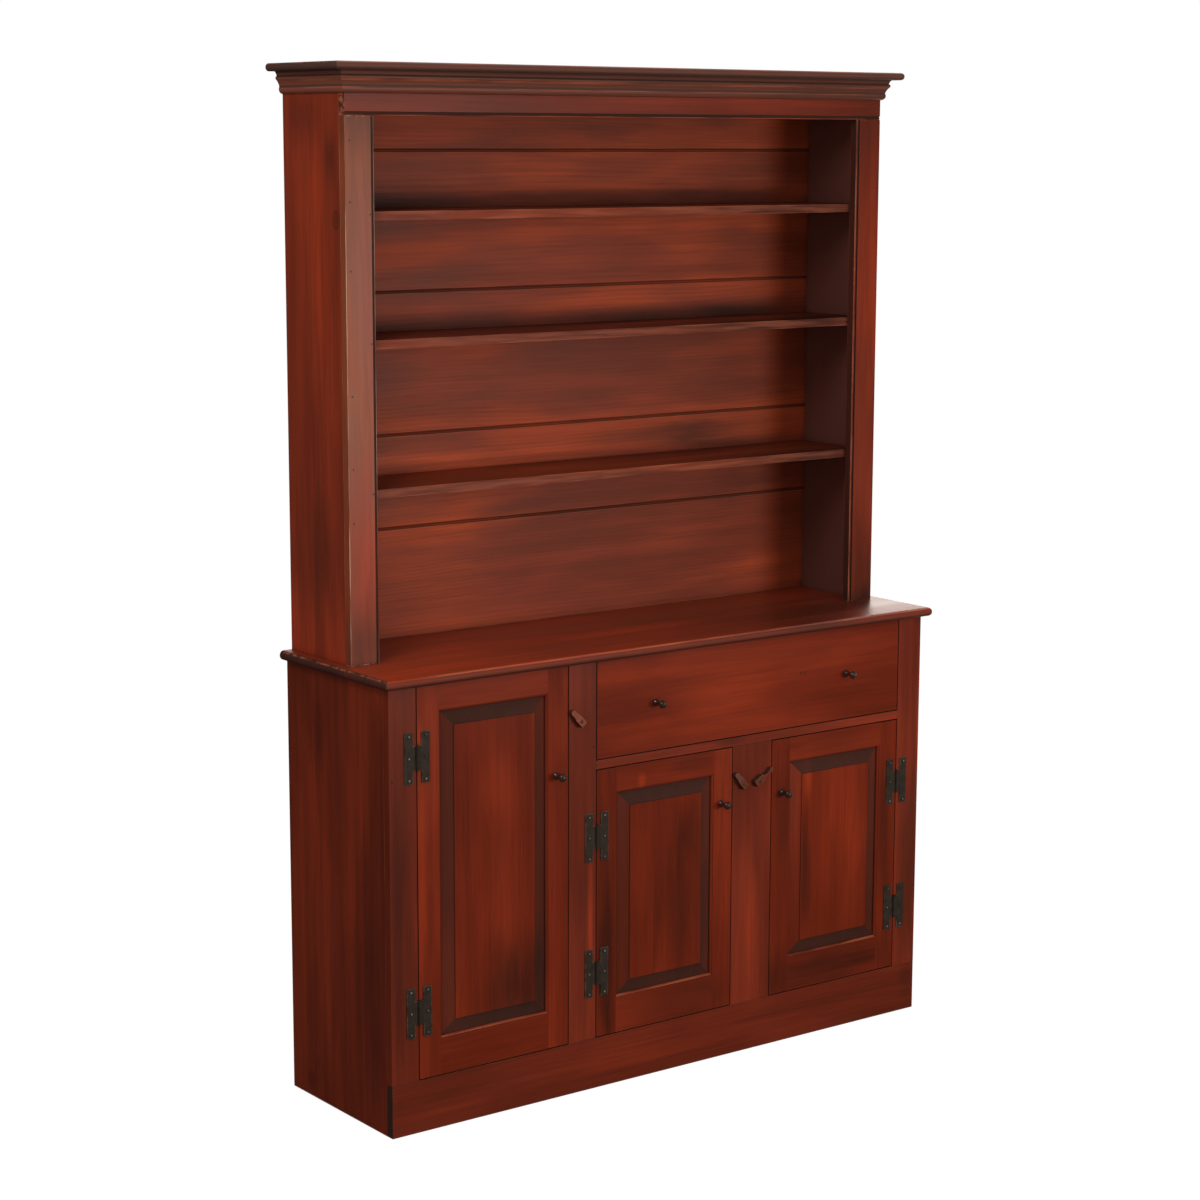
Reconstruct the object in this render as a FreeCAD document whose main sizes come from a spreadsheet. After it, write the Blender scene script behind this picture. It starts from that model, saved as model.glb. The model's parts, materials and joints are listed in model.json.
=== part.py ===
import FreeCAD, Part
import math
import os
import re
import Sketcher

# Step back cupboard: a base with three framed doors and one wide drawer, and a
# shallower open case with three shelves standing on its counter.
#
# Places are given from the base's left front lower corner: x to the right, y to
# the back, z up.  The y = 0 plane is the front of the base's face frame.  new_body
# moves them to the part's own frame, whose origin is on the floor, in the middle.

SIZES = (
    # alias, millimetres, what it measures
    ("base_width", 1422, "base, outside to outside"),
    ("case_depth", 390, "face frame's front to the back"),
    ("counter_height", 942, "floor to the counter's top"),
    ("upper_height", 1172, "counter to the underside of the cap"),
    ("frame_thick", 20, "face frame of the base"),
    ("side_thick", 20, "side boards of both cases"),
    ("back_thick", 16, "back boards of both cases"),
    ("rabbet_wide", 10, "rabbet that takes the back boards"),
    ("dado_deep", 6, "housings that take the shelves"),
    ("nose_flat", 0.6, "flat left in the middle of a rounded edge"),
    # base: face frame and inside
    ("left_stile_wide", 64, "base's left stile"),
    ("middle_stile_wide", 70, "stile between the left door and the drawer"),
    ("centre_stile_wide", 109, "stile between the two short doors"),
    ("right_stile_wide", 66, "base's right stile"),
    ("left_opening_wide", 373, "opening of the left door"),
    ("middle_opening_wide", 368, "opening of the middle door"),
    ("foot_rail_high", 110, "bottom rail, which stands on the floor"),
    ("drawer_rail_high", 19, "rail under the drawer"),
    ("drawer_opening_high", 211, "opening of the drawer"),
    ("floor_thick", 20, "floor board of the base"),
    ("partition_thick", 20, "upright between the compartments"),
    ("shelf_thick", 18, "every shelf"),
    ("left_shelf_low_top", 380, "floor to the lower left shelf's top"),
    ("left_shelf_high_top", 650, "floor to the upper left shelf's top"),
    ("right_shelf_top", 430, "floor to the right shelf's top"),
    ("base_back_boards", 4, "number of upright back boards"),
    ("runner_wide", 40, "drawer runner, beyond the opening's edge"),
    ("guide_high", 50, "guide beside the drawer, above the runner"),
    ("counter_thick", 20, "counter board"),
    ("counter_side_over", 17, "counter past the base's sides"),
    ("counter_front_over", 20, "counter past the face frame"),
    # upper case
    ("upper_inset", 12, "upper case inside the base, each side"),
    ("step_back", 156, "face frame of the base to that of the upper case"),
    ("upper_frame_thick", 20, "stiles and header of the upper case"),
    ("upper_stile_wide", 68, "stiles of the upper case"),
    ("header_high", 87, "header board"),
    ("bead_wide", 5.5, "beads run on stiles, header and back boards"),
    ("quirk_wide", 2, "groove beside a bead"),
    ("low_shelf_top", 348, "counter to the low shelf's top"),
    ("mid_shelf_top", 646.5, "counter to the middle shelf's top"),
    ("high_shelf_top", 899.5, "counter to the high shelf's top"),
    ("first_joint", 238, "counter to the first joint of the back boards"),
    ("second_joint", 434.5, "counter to the second joint"),
    ("third_joint", 731.5, "counter to the third joint"),
    ("fourth_joint", 1021, "counter to the fourth joint"),
    # crown
    ("crown_high", 44, "crown moulding"),
    ("crown_bead_out", 6.3, "lower member, at its top"),
    ("crown_bead_high", 16, "height of the lower member"),
    ("crown_bead_round", 10.5, "radius of the lower member"),
    ("crown_torus_out", 11, "middle member, at its top"),
    ("crown_torus_high", 36, "crown's foot to the middle member's top"),
    ("crown_torus_round", 13, "radius of the middle member"),
    ("crown_out", 17.3, "top member, at its top"),
    ("crown_top_round", 11, "radius of the top member"),
    ("cap_thick", 16, "cap board"),
    ("cap_over", 38, "cap past the upper case's sides and front"),
    # doors
    ("door_gap", 2, "gap round doors and drawer"),
    ("door_thick", 20, "door frames and drawer front"),
    ("door_stile_wide", 56, "stiles of the doors"),
    ("door_top_rail_high", 56, "top rails of the doors"),
    ("door_foot_rail_high", 82, "bottom rails of the doors"),
    ("sticking_wide", 5, "quarter round run on the doors' inner edges"),
    ("sticking_quirk", 1, "small step beside it"),
    ("panel_groove_front", 7, "door's front to the panel groove"),
    ("panel_groove_wide", 6, "panel groove, and the tenons in it"),
    ("panel_groove_deep", 8, "panel groove"),
    ("panel_float", 2, "room for the panel to swell in its groove"),
    ("panel_margin", 30, "bevel between the frame and the raised field"),
    ("panel_step", 2, "step at the edge of the raised field"),
    ("panel_proud", 2, "raised field past the door's front"),
    ("tenon_long", 38, "tenons of the door rails"),
    ("tenon_haunch", 16, "tenon's set-in from the door's corner"),
    # hinges
    ("hinge_leaf_tall", 104, "H hinge"),
    ("hinge_leaf_wide", 19, "upright bar of a leaf"),
    ("hinge_leaf_thick", 2.5, "leaf plate"),
    ("hinge_leaf_reach", 20, "barrel's axis to the middle of the bar"),
    ("hinge_neck_tall", 49, "neck and barrel"),
    ("hinge_from_end", 142, "door's end to the hinge's middle"),
    ("barrel_round", 3.75, "radius of the barrel"),
    ("barrel_stand", 0.3, "room between barrel and wood"),
    ("knuckle_gap", 0.4, "room between knuckles, and beside them"),
    ("hinge_pin_round", 1.6, "radius of the hinge pin"),
    ("hinge_pin_play", 0.06, "room round the hinge pin"),
    ("hinge_pin_head_round", 3, "radius of the peened pin ends"),
    ("hinge_pin_head_high", 1.4, "height of the peened pin ends"),
    ("nail_from_end", 7.5, "leaf's end to the outer nails"),
    ("nail_shank", 2.6, "side of the square nail shank"),
    ("nail_long", 15, "nail in the wood"),
    ("nail_head_wide", 7, "side of the nail's head"),
    ("nail_head_high", 2, "height of the nail's head"),
    ("nail_head_tip", 1, "flat tip of the nail's head"),
    # knobs
    ("knob_proud", 30, "knob past the door"),
    ("knob_head_round", 9, "radius of the knob's head"),
    ("knob_foot_round", 8, "radius of the knob's foot"),
    ("knob_foot_thick", 2, "straight edge of the foot"),
    ("knob_neck_round", 4.5, "radius of the knob's neck"),
    ("knob_neck_start", 8, "door to the neck"),
    ("knob_neck_end", 12, "door to the neck's end"),
    ("knob_cove_round", 9, "radius of the curve under the head"),
    ("knob_foot_curve", 8, "radius of the curve above the foot"),
    ("knob_peg_round", 4, "radius of the knob's peg"),
    ("knob_peg_long", 14, "peg in the wood"),
    ("peg_play", 0.1, "room round the peg"),
    ("knob_from_edge", 30, "door's free edge to its knob"),
    ("left_knob_down", 229, "left door opening's top to its knob"),
    ("short_knob_down", 122, "short door openings' top to their knobs"),
    ("drawer_knob_from_end", 157, "drawer opening's side to the knob"),
    ("drawer_knob_up", 104, "drawer opening's foot to its knobs"),
    # drawer
    ("drawer_side_thick", 12, "drawer sides and back"),
    ("drawer_side_room", 21, "drawer opening's top to the drawer's sides"),
    ("drawer_side_lap", 12, "how far the sides lap into the front"),
    ("drawer_back_room", 24, "drawer's back to the back boards"),
    ("drawer_tails", 4, "number of dovetails at each corner of the drawer"),
    ("pin_narrow", 8, "pins between the dovetails, at their narrow end"),
    ("pin_slope", 2, "how far each side of a pin widens"),
    ("drawer_bottom_thick", 8, "drawer bottom"),
    ("drawer_bottom_up", 10, "sides' lower edge to the bottom"),
    ("drawer_bottom_in", 6, "grooves for the bottom"),
    # turn buttons
    ("button_high", 16, "block of a turn button"),
    ("button_tail", 12, "pivot to the tail's end, and to the block's end"),
    ("button_thick", 12, "block of a turn button"),
    ("button_nose_thick", 8, "nose of a turn button"),
    ("button_relief", 0.5, "room between the nose and the door"),
    ("button_nose_round", 6, "radius of the nose"),
    ("button_waist_round", 22, "radius of the hollow between block and nose"),
    ("button_reach", 32, "pivot to nose, left and middle button"),
    ("right_button_reach", 46, "pivot to nose, right button"),
    ("left_button_in", 24, "door opening to the pivot, left button"),
    ("middle_button_in", 23, "door opening to the pivot, middle button"),
    ("right_button_in", 41, "door opening to the pivot, right button"),
    ("left_button_down", 120, "left door opening's top to its button"),
    ("short_button_down", 84, "short door openings' top to their buttons"),
    ("button_clear", 0.4, "turned button to the door's opening"),
    ("screw_round", 2, "radius of the button's screw"),
    ("screw_play", 0.08, "room round the screw"),
    ("screw_long", 14, "screw in the wood"),
    ("screw_head_round", 4, "radius of the screw's head, seen from the front"),
    ("screw_head_high", 2.4, "height of the screw's head"),
    ("screw_dome_round", 4.8, "radius of the head's dome"),
    ("screw_slot_wide", 1, "slot of the screw"),
    ("screw_slot_deep", 1, "slot of the screw"),
)

FULL_TURN = 360
TINY_LENGTH = 0.01
TINY_VOLUME = 0.01
# A rotation keeps its axis only if it turns, so a bound angle starts from this one.
ANY_ANGLE = 1

# Where things are, worked out from the sizes.
SHIFT = {
    "x": "base_width / 2",
    "y": "(case_depth - knob_proud) / 2",
    "z": "0",
}
COUNTER_UNDER = "(counter_height - counter_thick)"
INSIDE_BACK = "(case_depth - back_thick)"
BASE_INSIDE_RIGHT = "(base_width - side_thick)"
LEFT_OPEN = "left_stile_wide"
LEFT_CLOSE = "(left_stile_wide + left_opening_wide)"
MIDDLE_OPEN = "(left_stile_wide + left_opening_wide + middle_stile_wide)"
MIDDLE_CLOSE = f"({MIDDLE_OPEN} + middle_opening_wide)"
RIGHT_OPEN = f"({MIDDLE_CLOSE} + centre_stile_wide)"
RIGHT_CLOSE = "(base_width - right_stile_wide)"
DRAWER_RAIL_TOP = f"({COUNTER_UNDER} - drawer_opening_high)"
DRAWER_RAIL_UNDER = f"({DRAWER_RAIL_TOP} - drawer_rail_high)"
FLOOR_UNDER = "(foot_rail_high - floor_thick)"
PARTITION_LEFT = f"({MIDDLE_OPEN} - partition_thick)"
UPPER_LEFT = "upper_inset"
UPPER_RIGHT = "(base_width - upper_inset)"
UPPER_FRAME_BACK = "(step_back + upper_frame_thick)"
UPPER_TOP = "(counter_height + upper_height)"
CROWN_UNDER = f"({UPPER_TOP} - crown_high)"
BARREL_OUT = "(barrel_round + barrel_stand)"
NAIL_STEP = "(hinge_leaf_tall / 2 - nail_from_end)"
DRAWER_LONG = f"({INSIDE_BACK} - drawer_back_room)"
DRAWER_SIDE_HIGH = "(drawer_opening_high - drawer_side_room)"
DRAWER_KNOB_HEIGHT = f"({DRAWER_RAIL_TOP} + drawer_knob_up)"
LEFT_KNOB_HEIGHT = f"({COUNTER_UNDER} - left_knob_down)"
SHORT_KNOB_HEIGHT = f"({DRAWER_RAIL_UNDER} - short_knob_down)"
LEFT_BUTTON_HEIGHT = f"({COUNTER_UNDER} - left_button_down)"
SHORT_BUTTON_HEIGHT = f"({DRAWER_RAIL_UNDER} - short_button_down)"

doc = FreeCAD.newDocument("StepBackCupboard")
sheet = doc.addObject("Spreadsheet::Sheet", "Sizes")
for row, (alias, length, note) in enumerate(SIZES, start=1):
    sheet.set(f"A{row}", note)
    sheet.set(f"B{row}", str(length))
    sheet.setAlias(f"B{row}", alias)
doc.recompute()

ALIASES = re.compile(r"\b(" + "|".join(alias for alias, length, note in SIZES) + r")\b")
PLACES = {}
NODES = {}


def cells(words):
    """Point every size that an expression names at its cell."""
    return ALIASES.sub(r"Sizes.\1", words)


def bind(thing, prop, words):
    thing.setExpression(prop, cells(words))


def value(words):
    return float(sheet.evalExpression(cells(words)))


# ---------------------------------------------------------------- bodies and features

def new_body(label, at, node=True):
    """A body whose own origin is at the given place of the cupboard."""
    body = doc.addObject("PartDesign::Body", label)
    body.Label = label
    PLACES[label] = at
    for axis, place in zip("xyz", at):
        bind(body, f"Placement.Base.{axis}", f"({place}) - {SHIFT[axis]}")
    if node:
        NODES[label] = body
    return body


def box(body, kind, at, size):
    """Add or subtract a box, placed in the cupboard's own measures."""
    feature = body.newObject(f"PartDesign::{kind}Box", kind)
    for axis, place, own in zip("xyz", at, PLACES[body.Label]):
        bind(feature, f"Placement.Base.{axis}", f"({place}) - ({own})")
    for prop, length in zip(("Length", "Width", "Height"), size):
        bind(feature, prop, length)
    return feature


def board(label, at, size, node=True):
    body = new_body(label, at, node)
    box(body, "Additive", at, size)
    return body


def notch(body, at, size):
    return box(body, "Subtractive", at, size)


def group(label, members):
    """Like pieces that share one node stay separate solids in it."""
    compound = doc.addObject("Part::Compound", label)
    compound.Links = members
    NODES[label] = compound
    return compound


def add_edge(sketch, start, end, radius):
    """A line, or an arc that turns left for a positive radius, right for a negative one."""
    first = FreeCAD.Vector(start[0], start[1], 0)
    last = FreeCAD.Vector(end[0], end[1], 0)
    if radius == 0:
        return sketch.addGeometry(Part.LineSegment(first, last), False), 1, 2
    chord = last - first
    left = FreeCAD.Vector(-chord.y, chord.x, 0).normalize()
    rise = max(radius * radius - chord.Length * chord.Length / 4, 0) ** 0.5
    side = 1 if radius > 0 else -1
    centre = (first + last) / 2 + left * rise * side
    circle = Part.Circle(centre, FreeCAD.Vector(0, 0, 1), abs(radius))
    angles = [math.atan2(spot.y - centre.y, spot.x - centre.x) for spot in (first, last)]
    number = sketch.addGeometry(Part.ArcOfCircle(circle, *angles[::side]), False)
    return (number, 1, 2) if side > 0 else (number, 2, 1)


def add_loop(sketch, corners):
    """Close an outline of corners (across, up) or, after a round stretch, (across, up, radius)."""
    spots = [(value(corner[0]), value(corner[1])) for corner in corners]
    edges = []
    for index, corner in enumerate(corners):
        bend = corner[2] if len(corner) > 2 else "0"
        edge = add_edge(sketch, spots[index - 1], spots[index], value(bend))
        edges.append(edge)
        if bend != "0":
            round_edge = Sketcher.Constraint("Radius", edge[0], abs(value(bend)))
            bind(sketch, f"Constraints[{sketch.addConstraint(round_edge)}]", f"abs({bend})")
    for index, (number, start, end) in enumerate(edges):
        following = edges[(index + 1) % len(edges)]
        sketch.addConstraint(Sketcher.Constraint("Coincident", number, end, following[0], following[1]))
        for kind, spot, words in zip(("DistanceX", "DistanceY"), spots[index], corners[index]):
            place = Sketcher.Constraint(kind, -1, 1, number, end, spot)
            bind(sketch, f"Constraints[{sketch.addConstraint(place)}]", words)


def outline(body, plane, loops, offset="0"):
    """A sketch on one of the body's own planes, moved along the plane's normal."""
    sketch = body.newObject("Sketcher::SketchObject", "Outline")
    support = [part for part in body.Origin.OriginFeatures if part.Role == plane][0]
    sketch.AttachmentSupport = [(support, "")]
    sketch.MapMode = "FlatFace"
    bind(sketch, "AttachmentOffset.Base.z", offset)
    for corners in loops:
        add_loop(sketch, corners)
    return sketch


def circle_outline(body, plane, across, up, radii, offset="0"):
    """Circles round one centre."""
    sketch = outline(body, plane, (), offset)
    for words in radii:
        centre = FreeCAD.Vector(value(across), value(up), 0)
        normal = FreeCAD.Vector(0, 0, 1)
        number = sketch.addGeometry(Part.Circle(centre, normal, value(words)), False)
        radius = Sketcher.Constraint("Radius", number, value(words))
        bind(sketch, f"Constraints[{sketch.addConstraint(radius)}]", words)
        for kind, spot, place in (("DistanceX", centre.x, across), ("DistanceY", centre.y, up)):
            distance = Sketcher.Constraint(kind, -1, 1, number, 3, spot)
            bind(sketch, f"Constraints[{sketch.addConstraint(distance)}]", place)
    return sketch


def pad(body, sketch, length, back=False):
    feature = body.newObject("PartDesign::Pad", "Pad")
    feature.Profile = sketch
    bind(feature, "Length", length)
    feature.Reversed = back
    return feature


def pocket(body, sketch, length, back=False):
    """Cut along the sketch's normal, or against it, and see that something was cut."""
    doc.recompute()
    before = body.Shape.Volume
    feature = body.newObject("PartDesign::Pocket", "Pocket")
    feature.Profile = sketch
    bind(feature, "Length", length)
    feature.Reversed = not back
    doc.recompute()
    if before - body.Shape.Volume < TINY_VOLUME:
        raise RuntimeError(f"{body.Label}: a pocket cuts nothing")
    return feature


def turn(body, sketch, kind="Revolution"):
    """Turn an outline round its own vertical axis."""
    feature = body.newObject(f"PartDesign::{kind}", kind)
    feature.Profile = sketch
    feature.ReferenceAxis = (sketch, ["V_Axis"])
    feature.Angle = FULL_TURN
    return feature


def round_edges(body, wanted, radius):
    """Fillet the edges whose middle the given test picks."""
    doc.recompute()
    last = body.Tip
    names = [
        f"Edge{index}"
        for index, edge in enumerate(last.Shape.Edges, start=1)
        if wanted(edge.CenterOfMass)
    ]
    fillet = body.newObject("PartDesign::Fillet", "Fillet")
    fillet.Base = (last, names)
    bind(fillet, "Radius", radius)
    return fillet


def beaded_edge(width, thick, mirror=""):
    """Section of a board with a quirk and bead run on one front edge."""
    return [
        ("0", "0"),
        (f"{mirror}({width} - bead_wide - quirk_wide)", "0"),
        (f"{mirror}({width} - bead_wide - quirk_wide)", "bead_wide / 2"),
        (f"{mirror}({width} - bead_wide)", "bead_wide / 2"),
        (f"{mirror}({width} - bead_wide / 2)", "0", f"-1 * {mirror}(bead_wide / 2)"),
        (f"{mirror}({width})", "bead_wide / 2", f"-1 * {mirror}(bead_wide / 2)"),
        (f"{mirror}({width})", thick),
        ("0", thick),
    ]


def upright(corners):
    """Swap an outline's two measures, which also swaps the way that arcs turn."""
    swapped = []
    for across, up, *bend in corners:
        swapped.append((up, across, *[f"-1 * ({radius})" for radius in bend]))
    return swapped


# ---------------------------------------------------------------- base

def base_sides():
    depth = "(case_depth - frame_thick)"
    for name, left, inner in (
        ("left", "0", "side_thick"),
        ("right", BASE_INSIDE_RIGHT, BASE_INSIDE_RIGHT),
    ):
        side = board(f"base_{name}_side", (left, "frame_thick", "0"), ("side_thick", depth, COUNTER_UNDER))
        rabbet = f"{inner} - rabbet_wide" if name == "left" else inner
        notch(side, (rabbet, INSIDE_BACK, "0"), ("rabbet_wide", "back_thick", COUNTER_UNDER))
        dado = f"{inner} - dado_deep" if name == "left" else inner
        tops = ("left_shelf_low_top", "left_shelf_high_top") if name == "left" else ("right_shelf_top",)
        house_shelves(side, dado, tops)


def house_shelves(body, left, tops):
    """Housings across the inside of an upright board."""
    for top in tops:
        at = (left, "frame_thick", f"{top} - shelf_thick")
        notch(body, at, ("dado_deep", f"{INSIDE_BACK} - frame_thick", "shelf_thick"))


def base_frame():
    stile_high = f"({COUNTER_UNDER} - foot_rail_high)"
    board("base_foot_rail", ("0", "0", "0"), ("base_width", "frame_thick", "foot_rail_high"))
    for name, left, wide, high in (
        ("left", "0", "left_stile_wide", stile_high),
        ("middle", LEFT_CLOSE, "middle_stile_wide", stile_high),
        ("centre", MIDDLE_CLOSE, "centre_stile_wide", f"({DRAWER_RAIL_UNDER} - foot_rail_high)"),
        ("right", RIGHT_CLOSE, "right_stile_wide", stile_high),
    ):
        board(f"base_{name}_stile", (left, "0", "foot_rail_high"), (wide, "frame_thick", high))
    wide = f"({RIGHT_CLOSE} - {MIDDLE_OPEN})"
    at = (MIDDLE_OPEN, "0", DRAWER_RAIL_UNDER)
    board("drawer_rail", at, (wide, "frame_thick", "drawer_rail_high"))


def base_inside():
    depth = f"({INSIDE_BACK} - frame_thick)"
    at = ("side_thick", "frame_thick", FLOOR_UNDER)
    board("base_floor", at, (f"({BASE_INSIDE_RIGHT} - side_thick)", depth, "floor_thick"))
    at = (PARTITION_LEFT, "frame_thick", "foot_rail_high")
    high = f"({COUNTER_UNDER} - foot_rail_high)"
    partition = board("base_partition", at, ("partition_thick", depth, high))
    house_shelves(partition, PARTITION_LEFT, ("left_shelf_low_top", "left_shelf_high_top"))
    house_shelves(partition, f"({MIDDLE_OPEN} - dado_deep)", ("right_shelf_top",))
    shelves = []
    for name, left, right, top in (
        ("low_left", "side_thick", PARTITION_LEFT, "left_shelf_low_top"),
        ("high_left", "side_thick", PARTITION_LEFT, "left_shelf_high_top"),
        ("right", MIDDLE_OPEN, BASE_INSIDE_RIGHT, "right_shelf_top"),
    ):
        at = (f"({left} - dado_deep)", "frame_thick", f"({top} - shelf_thick)")
        size = (f"({right} - {left} + 2 * dado_deep)", depth, "shelf_thick")
        shelves.append(board(f"base_shelf_{name}", at, size, node=False))
    group("base_shelves", shelves)
    back_high = f"({COUNTER_UNDER} - {FLOOR_UNDER})"
    inside = "(base_width - 2 * side_thick + 2 * rabbet_wide)"
    boards = []
    for index in range(int(value("base_back_boards"))):
        wide = f"({inside} / base_back_boards)"
        at = (f"side_thick - rabbet_wide + {index} * {wide}", INSIDE_BACK, FLOOR_UNDER)
        size = (wide, "back_thick", back_high)
        boards.append(board(f"base_back_board_{index + 1}", at, size, node=False))
    group("base_back_boards", boards)


def drawer_runners():
    depth = f"({INSIDE_BACK} - frame_thick)"
    at = (MIDDLE_OPEN, "frame_thick", DRAWER_RAIL_UNDER)
    left = board("drawer_runner_left", at, ("runner_wide", depth, "drawer_rail_high"), node=False)
    reach = f"({BASE_INSIDE_RIGHT} - {RIGHT_CLOSE})"
    at = (f"{RIGHT_CLOSE} - runner_wide", "frame_thick", DRAWER_RAIL_UNDER)
    size = (f"(runner_wide + {reach})", depth, "drawer_rail_high")
    right = board("drawer_runner_right", at, size, node=False)
    box(right, "Additive", (RIGHT_CLOSE, "frame_thick", DRAWER_RAIL_TOP), (reach, depth, "guide_high"))
    group("drawer_runners", [left, right])


def rounded_board(label, at, size):
    """A board with its front and side edges rounded over, top and bottom."""
    body = board(label, at, size)
    back = value(size[1])
    high = value(size[2])

    def is_rounded(spot):
        flat = abs(spot.z) < TINY_LENGTH or abs(spot.z - high) < TINY_LENGTH
        return flat and spot.y < back - TINY_LENGTH

    round_edges(body, is_rounded, f"({size[2]} - nose_flat) / 2")
    return body


def counter():
    at = ("-counter_side_over", "-counter_front_over", COUNTER_UNDER)
    size = ("(base_width + 2 * counter_side_over)", "(case_depth + counter_front_over)", "counter_thick")
    rounded_board("counter_top", at, size)


# ---------------------------------------------------------------- upper case

def upper_sides():
    depth = f"(case_depth - {UPPER_FRAME_BACK})"
    shelf_depth = f"({INSIDE_BACK} - {UPPER_FRAME_BACK})"
    left_inner = f"({UPPER_LEFT} + side_thick)"
    right_inner = f"({UPPER_RIGHT} - side_thick)"
    for name, left, rabbet, dado in (
        ("left", UPPER_LEFT, f"{left_inner} - rabbet_wide", f"{left_inner} - dado_deep"),
        ("right", right_inner, right_inner, right_inner),
    ):
        at = (left, UPPER_FRAME_BACK, "counter_height")
        side = board(f"upper_{name}_side", at, ("side_thick", depth, "upper_height"))
        notch(side, (rabbet, INSIDE_BACK, "counter_height"), ("rabbet_wide", "back_thick", "upper_height"))
        for top in ("low_shelf_top", "mid_shelf_top", "high_shelf_top"):
            at = (dado, UPPER_FRAME_BACK, f"counter_height + {top} - shelf_thick")
            notch(side, at, ("dado_deep", shelf_depth, "shelf_thick"))


def upper_frame():
    high = "(upper_height - header_high)"
    for name, edge, mirror in (("left", UPPER_LEFT, ""), ("right", UPPER_RIGHT, "-1 * ")):
        stile = new_body(f"upper_{name}_stile", (edge, "step_back", "counter_height"))
        section = beaded_edge("upper_stile_wide", "upper_frame_thick", mirror)
        pad(stile, outline(stile, "XY_Plane", [section]), high)
    header = new_body("upper_header", (UPPER_LEFT, "step_back", UPPER_TOP))
    section = upright(beaded_edge("header_high", "upper_frame_thick", "-1 * "))
    pad(header, outline(header, "YZ_Plane", [section]), f"({UPPER_RIGHT} - {UPPER_LEFT})")


def upper_shelves():
    depth = f"({INSIDE_BACK} - {UPPER_FRAME_BACK})"
    wide = "(base_width - 2 * upper_inset - 2 * side_thick + 2 * dado_deep)"
    shelves = []
    left = "upper_inset + side_thick - dado_deep"
    for name in ("low", "mid", "high"):
        at = (left, UPPER_FRAME_BACK, f"counter_height + {name}_shelf_top - shelf_thick")
        shelves.append(board(f"upper_shelf_{name}", at, (wide, depth, "shelf_thick"), node=False))
    group("upper_shelves", shelves)


def upper_back():
    left = "(upper_inset + side_thick - rabbet_wide)"
    wide = f"(base_width - 2 * {left})"
    joints = ("0", "first_joint", "second_joint", "third_joint", "fourth_joint", "upper_height")
    boards = []
    for index, (low, high) in enumerate(zip(joints, joints[1:]), start=1):
        at = (left, INSIDE_BACK, f"counter_height + {low}")
        body = new_body(f"upper_back_board_{index}", at, node=False)
        if high == "upper_height":
            box(body, "Additive", at, (wide, "back_thick", f"({high} - {low})"))
        else:
            section = upright(beaded_edge(f"({high} - {low})", "back_thick"))
            pad(body, outline(body, "YZ_Plane", [section]), wide)
        boards.append(body)
    group("upper_back_boards", boards)


def crown_section(mirror):
    """Three members, one above the other, each a round stretch; mirrored for the other way."""
    turn_sign = "-1 * " if mirror == "" else ""
    return [
        ("0", "0"),
        (f"{mirror}crown_bead_out", "crown_bead_high", f"{turn_sign}-1 * crown_bead_round"),
        (f"{mirror}crown_torus_out", "crown_torus_high", f"{turn_sign}-1 * crown_torus_round"),
        (f"{mirror}crown_out", "crown_high", f"{turn_sign}-1 * crown_top_round"),
        ("0", "crown_high"),
    ]


def crown():
    """Moulding under the cap: a front length and two returns, mitred at the corners."""
    wide = f"({UPPER_RIGHT} - {UPPER_LEFT})"
    front = new_body("crown_front", (UPPER_LEFT, "step_back", CROWN_UNDER))
    section = outline(front, "YZ_Plane", [crown_section("-1 * ")], "-1 * crown_out")
    pad(front, section, f"({wide} + 2 * crown_out)")
    waste = [
        [("-1 * crown_out", "0"), ("-1 * crown_out", "-1 * crown_out"), ("0", "0")],
        [(f"{wide}", "0"), (f"{wide} + crown_out", "-1 * crown_out"), (f"{wide} + crown_out", "0")],
    ]
    pocket(front, outline(front, "XY_Plane", waste), "crown_high")
    returns = []
    for name, edge, mirror in (("left", UPPER_LEFT, "-1 * "), ("right", UPPER_RIGHT, "")):
        body = new_body(f"crown_return_{name}", (edge, "step_back", CROWN_UNDER), node=False)
        section = outline(body, "XZ_Plane", [crown_section(mirror)], "crown_out")
        pad(body, section, "(case_depth - step_back + crown_out)", back=True)
        waste = [("0", "0"), (f"{mirror}crown_out", "-1 * crown_out"), ("0", "-1 * crown_out")]
        pocket(body, outline(body, "XY_Plane", [waste]), "crown_high")
        returns.append(body)
    group("crown_returns", returns)


def cap():
    at = ("upper_inset - cap_over", "step_back - cap_over", UPPER_TOP)
    wide = "(base_width - 2 * upper_inset + 2 * cap_over)"
    rounded_board("cap_board", at, (wide, "(case_depth - step_back + cap_over)", "cap_thick"))


# ---------------------------------------------------------------- doors

def door_stile_section(mirror):
    """Quarter round and panel groove on the inner edge; the outer edge is at 0."""
    curve = "-1 * sticking_wide" if mirror else "sticking_wide"
    edge = f"{mirror}door_stile_wide"
    shy = f"{mirror}(door_stile_wide - sticking_wide)"
    deep = f"{mirror}(door_stile_wide - panel_groove_deep)"
    return [
        ("0", "0"),
        (shy, "0"),
        (shy, "sticking_quirk"),
        (edge, "sticking_quirk + sticking_wide", curve),
        (edge, "panel_groove_front"),
        (deep, "panel_groove_front"),
        (deep, "panel_groove_front + panel_groove_wide"),
        (edge, "panel_groove_front + panel_groove_wide"),
        (edge, "door_thick"),
        ("0", "door_thick"),
    ]


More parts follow.
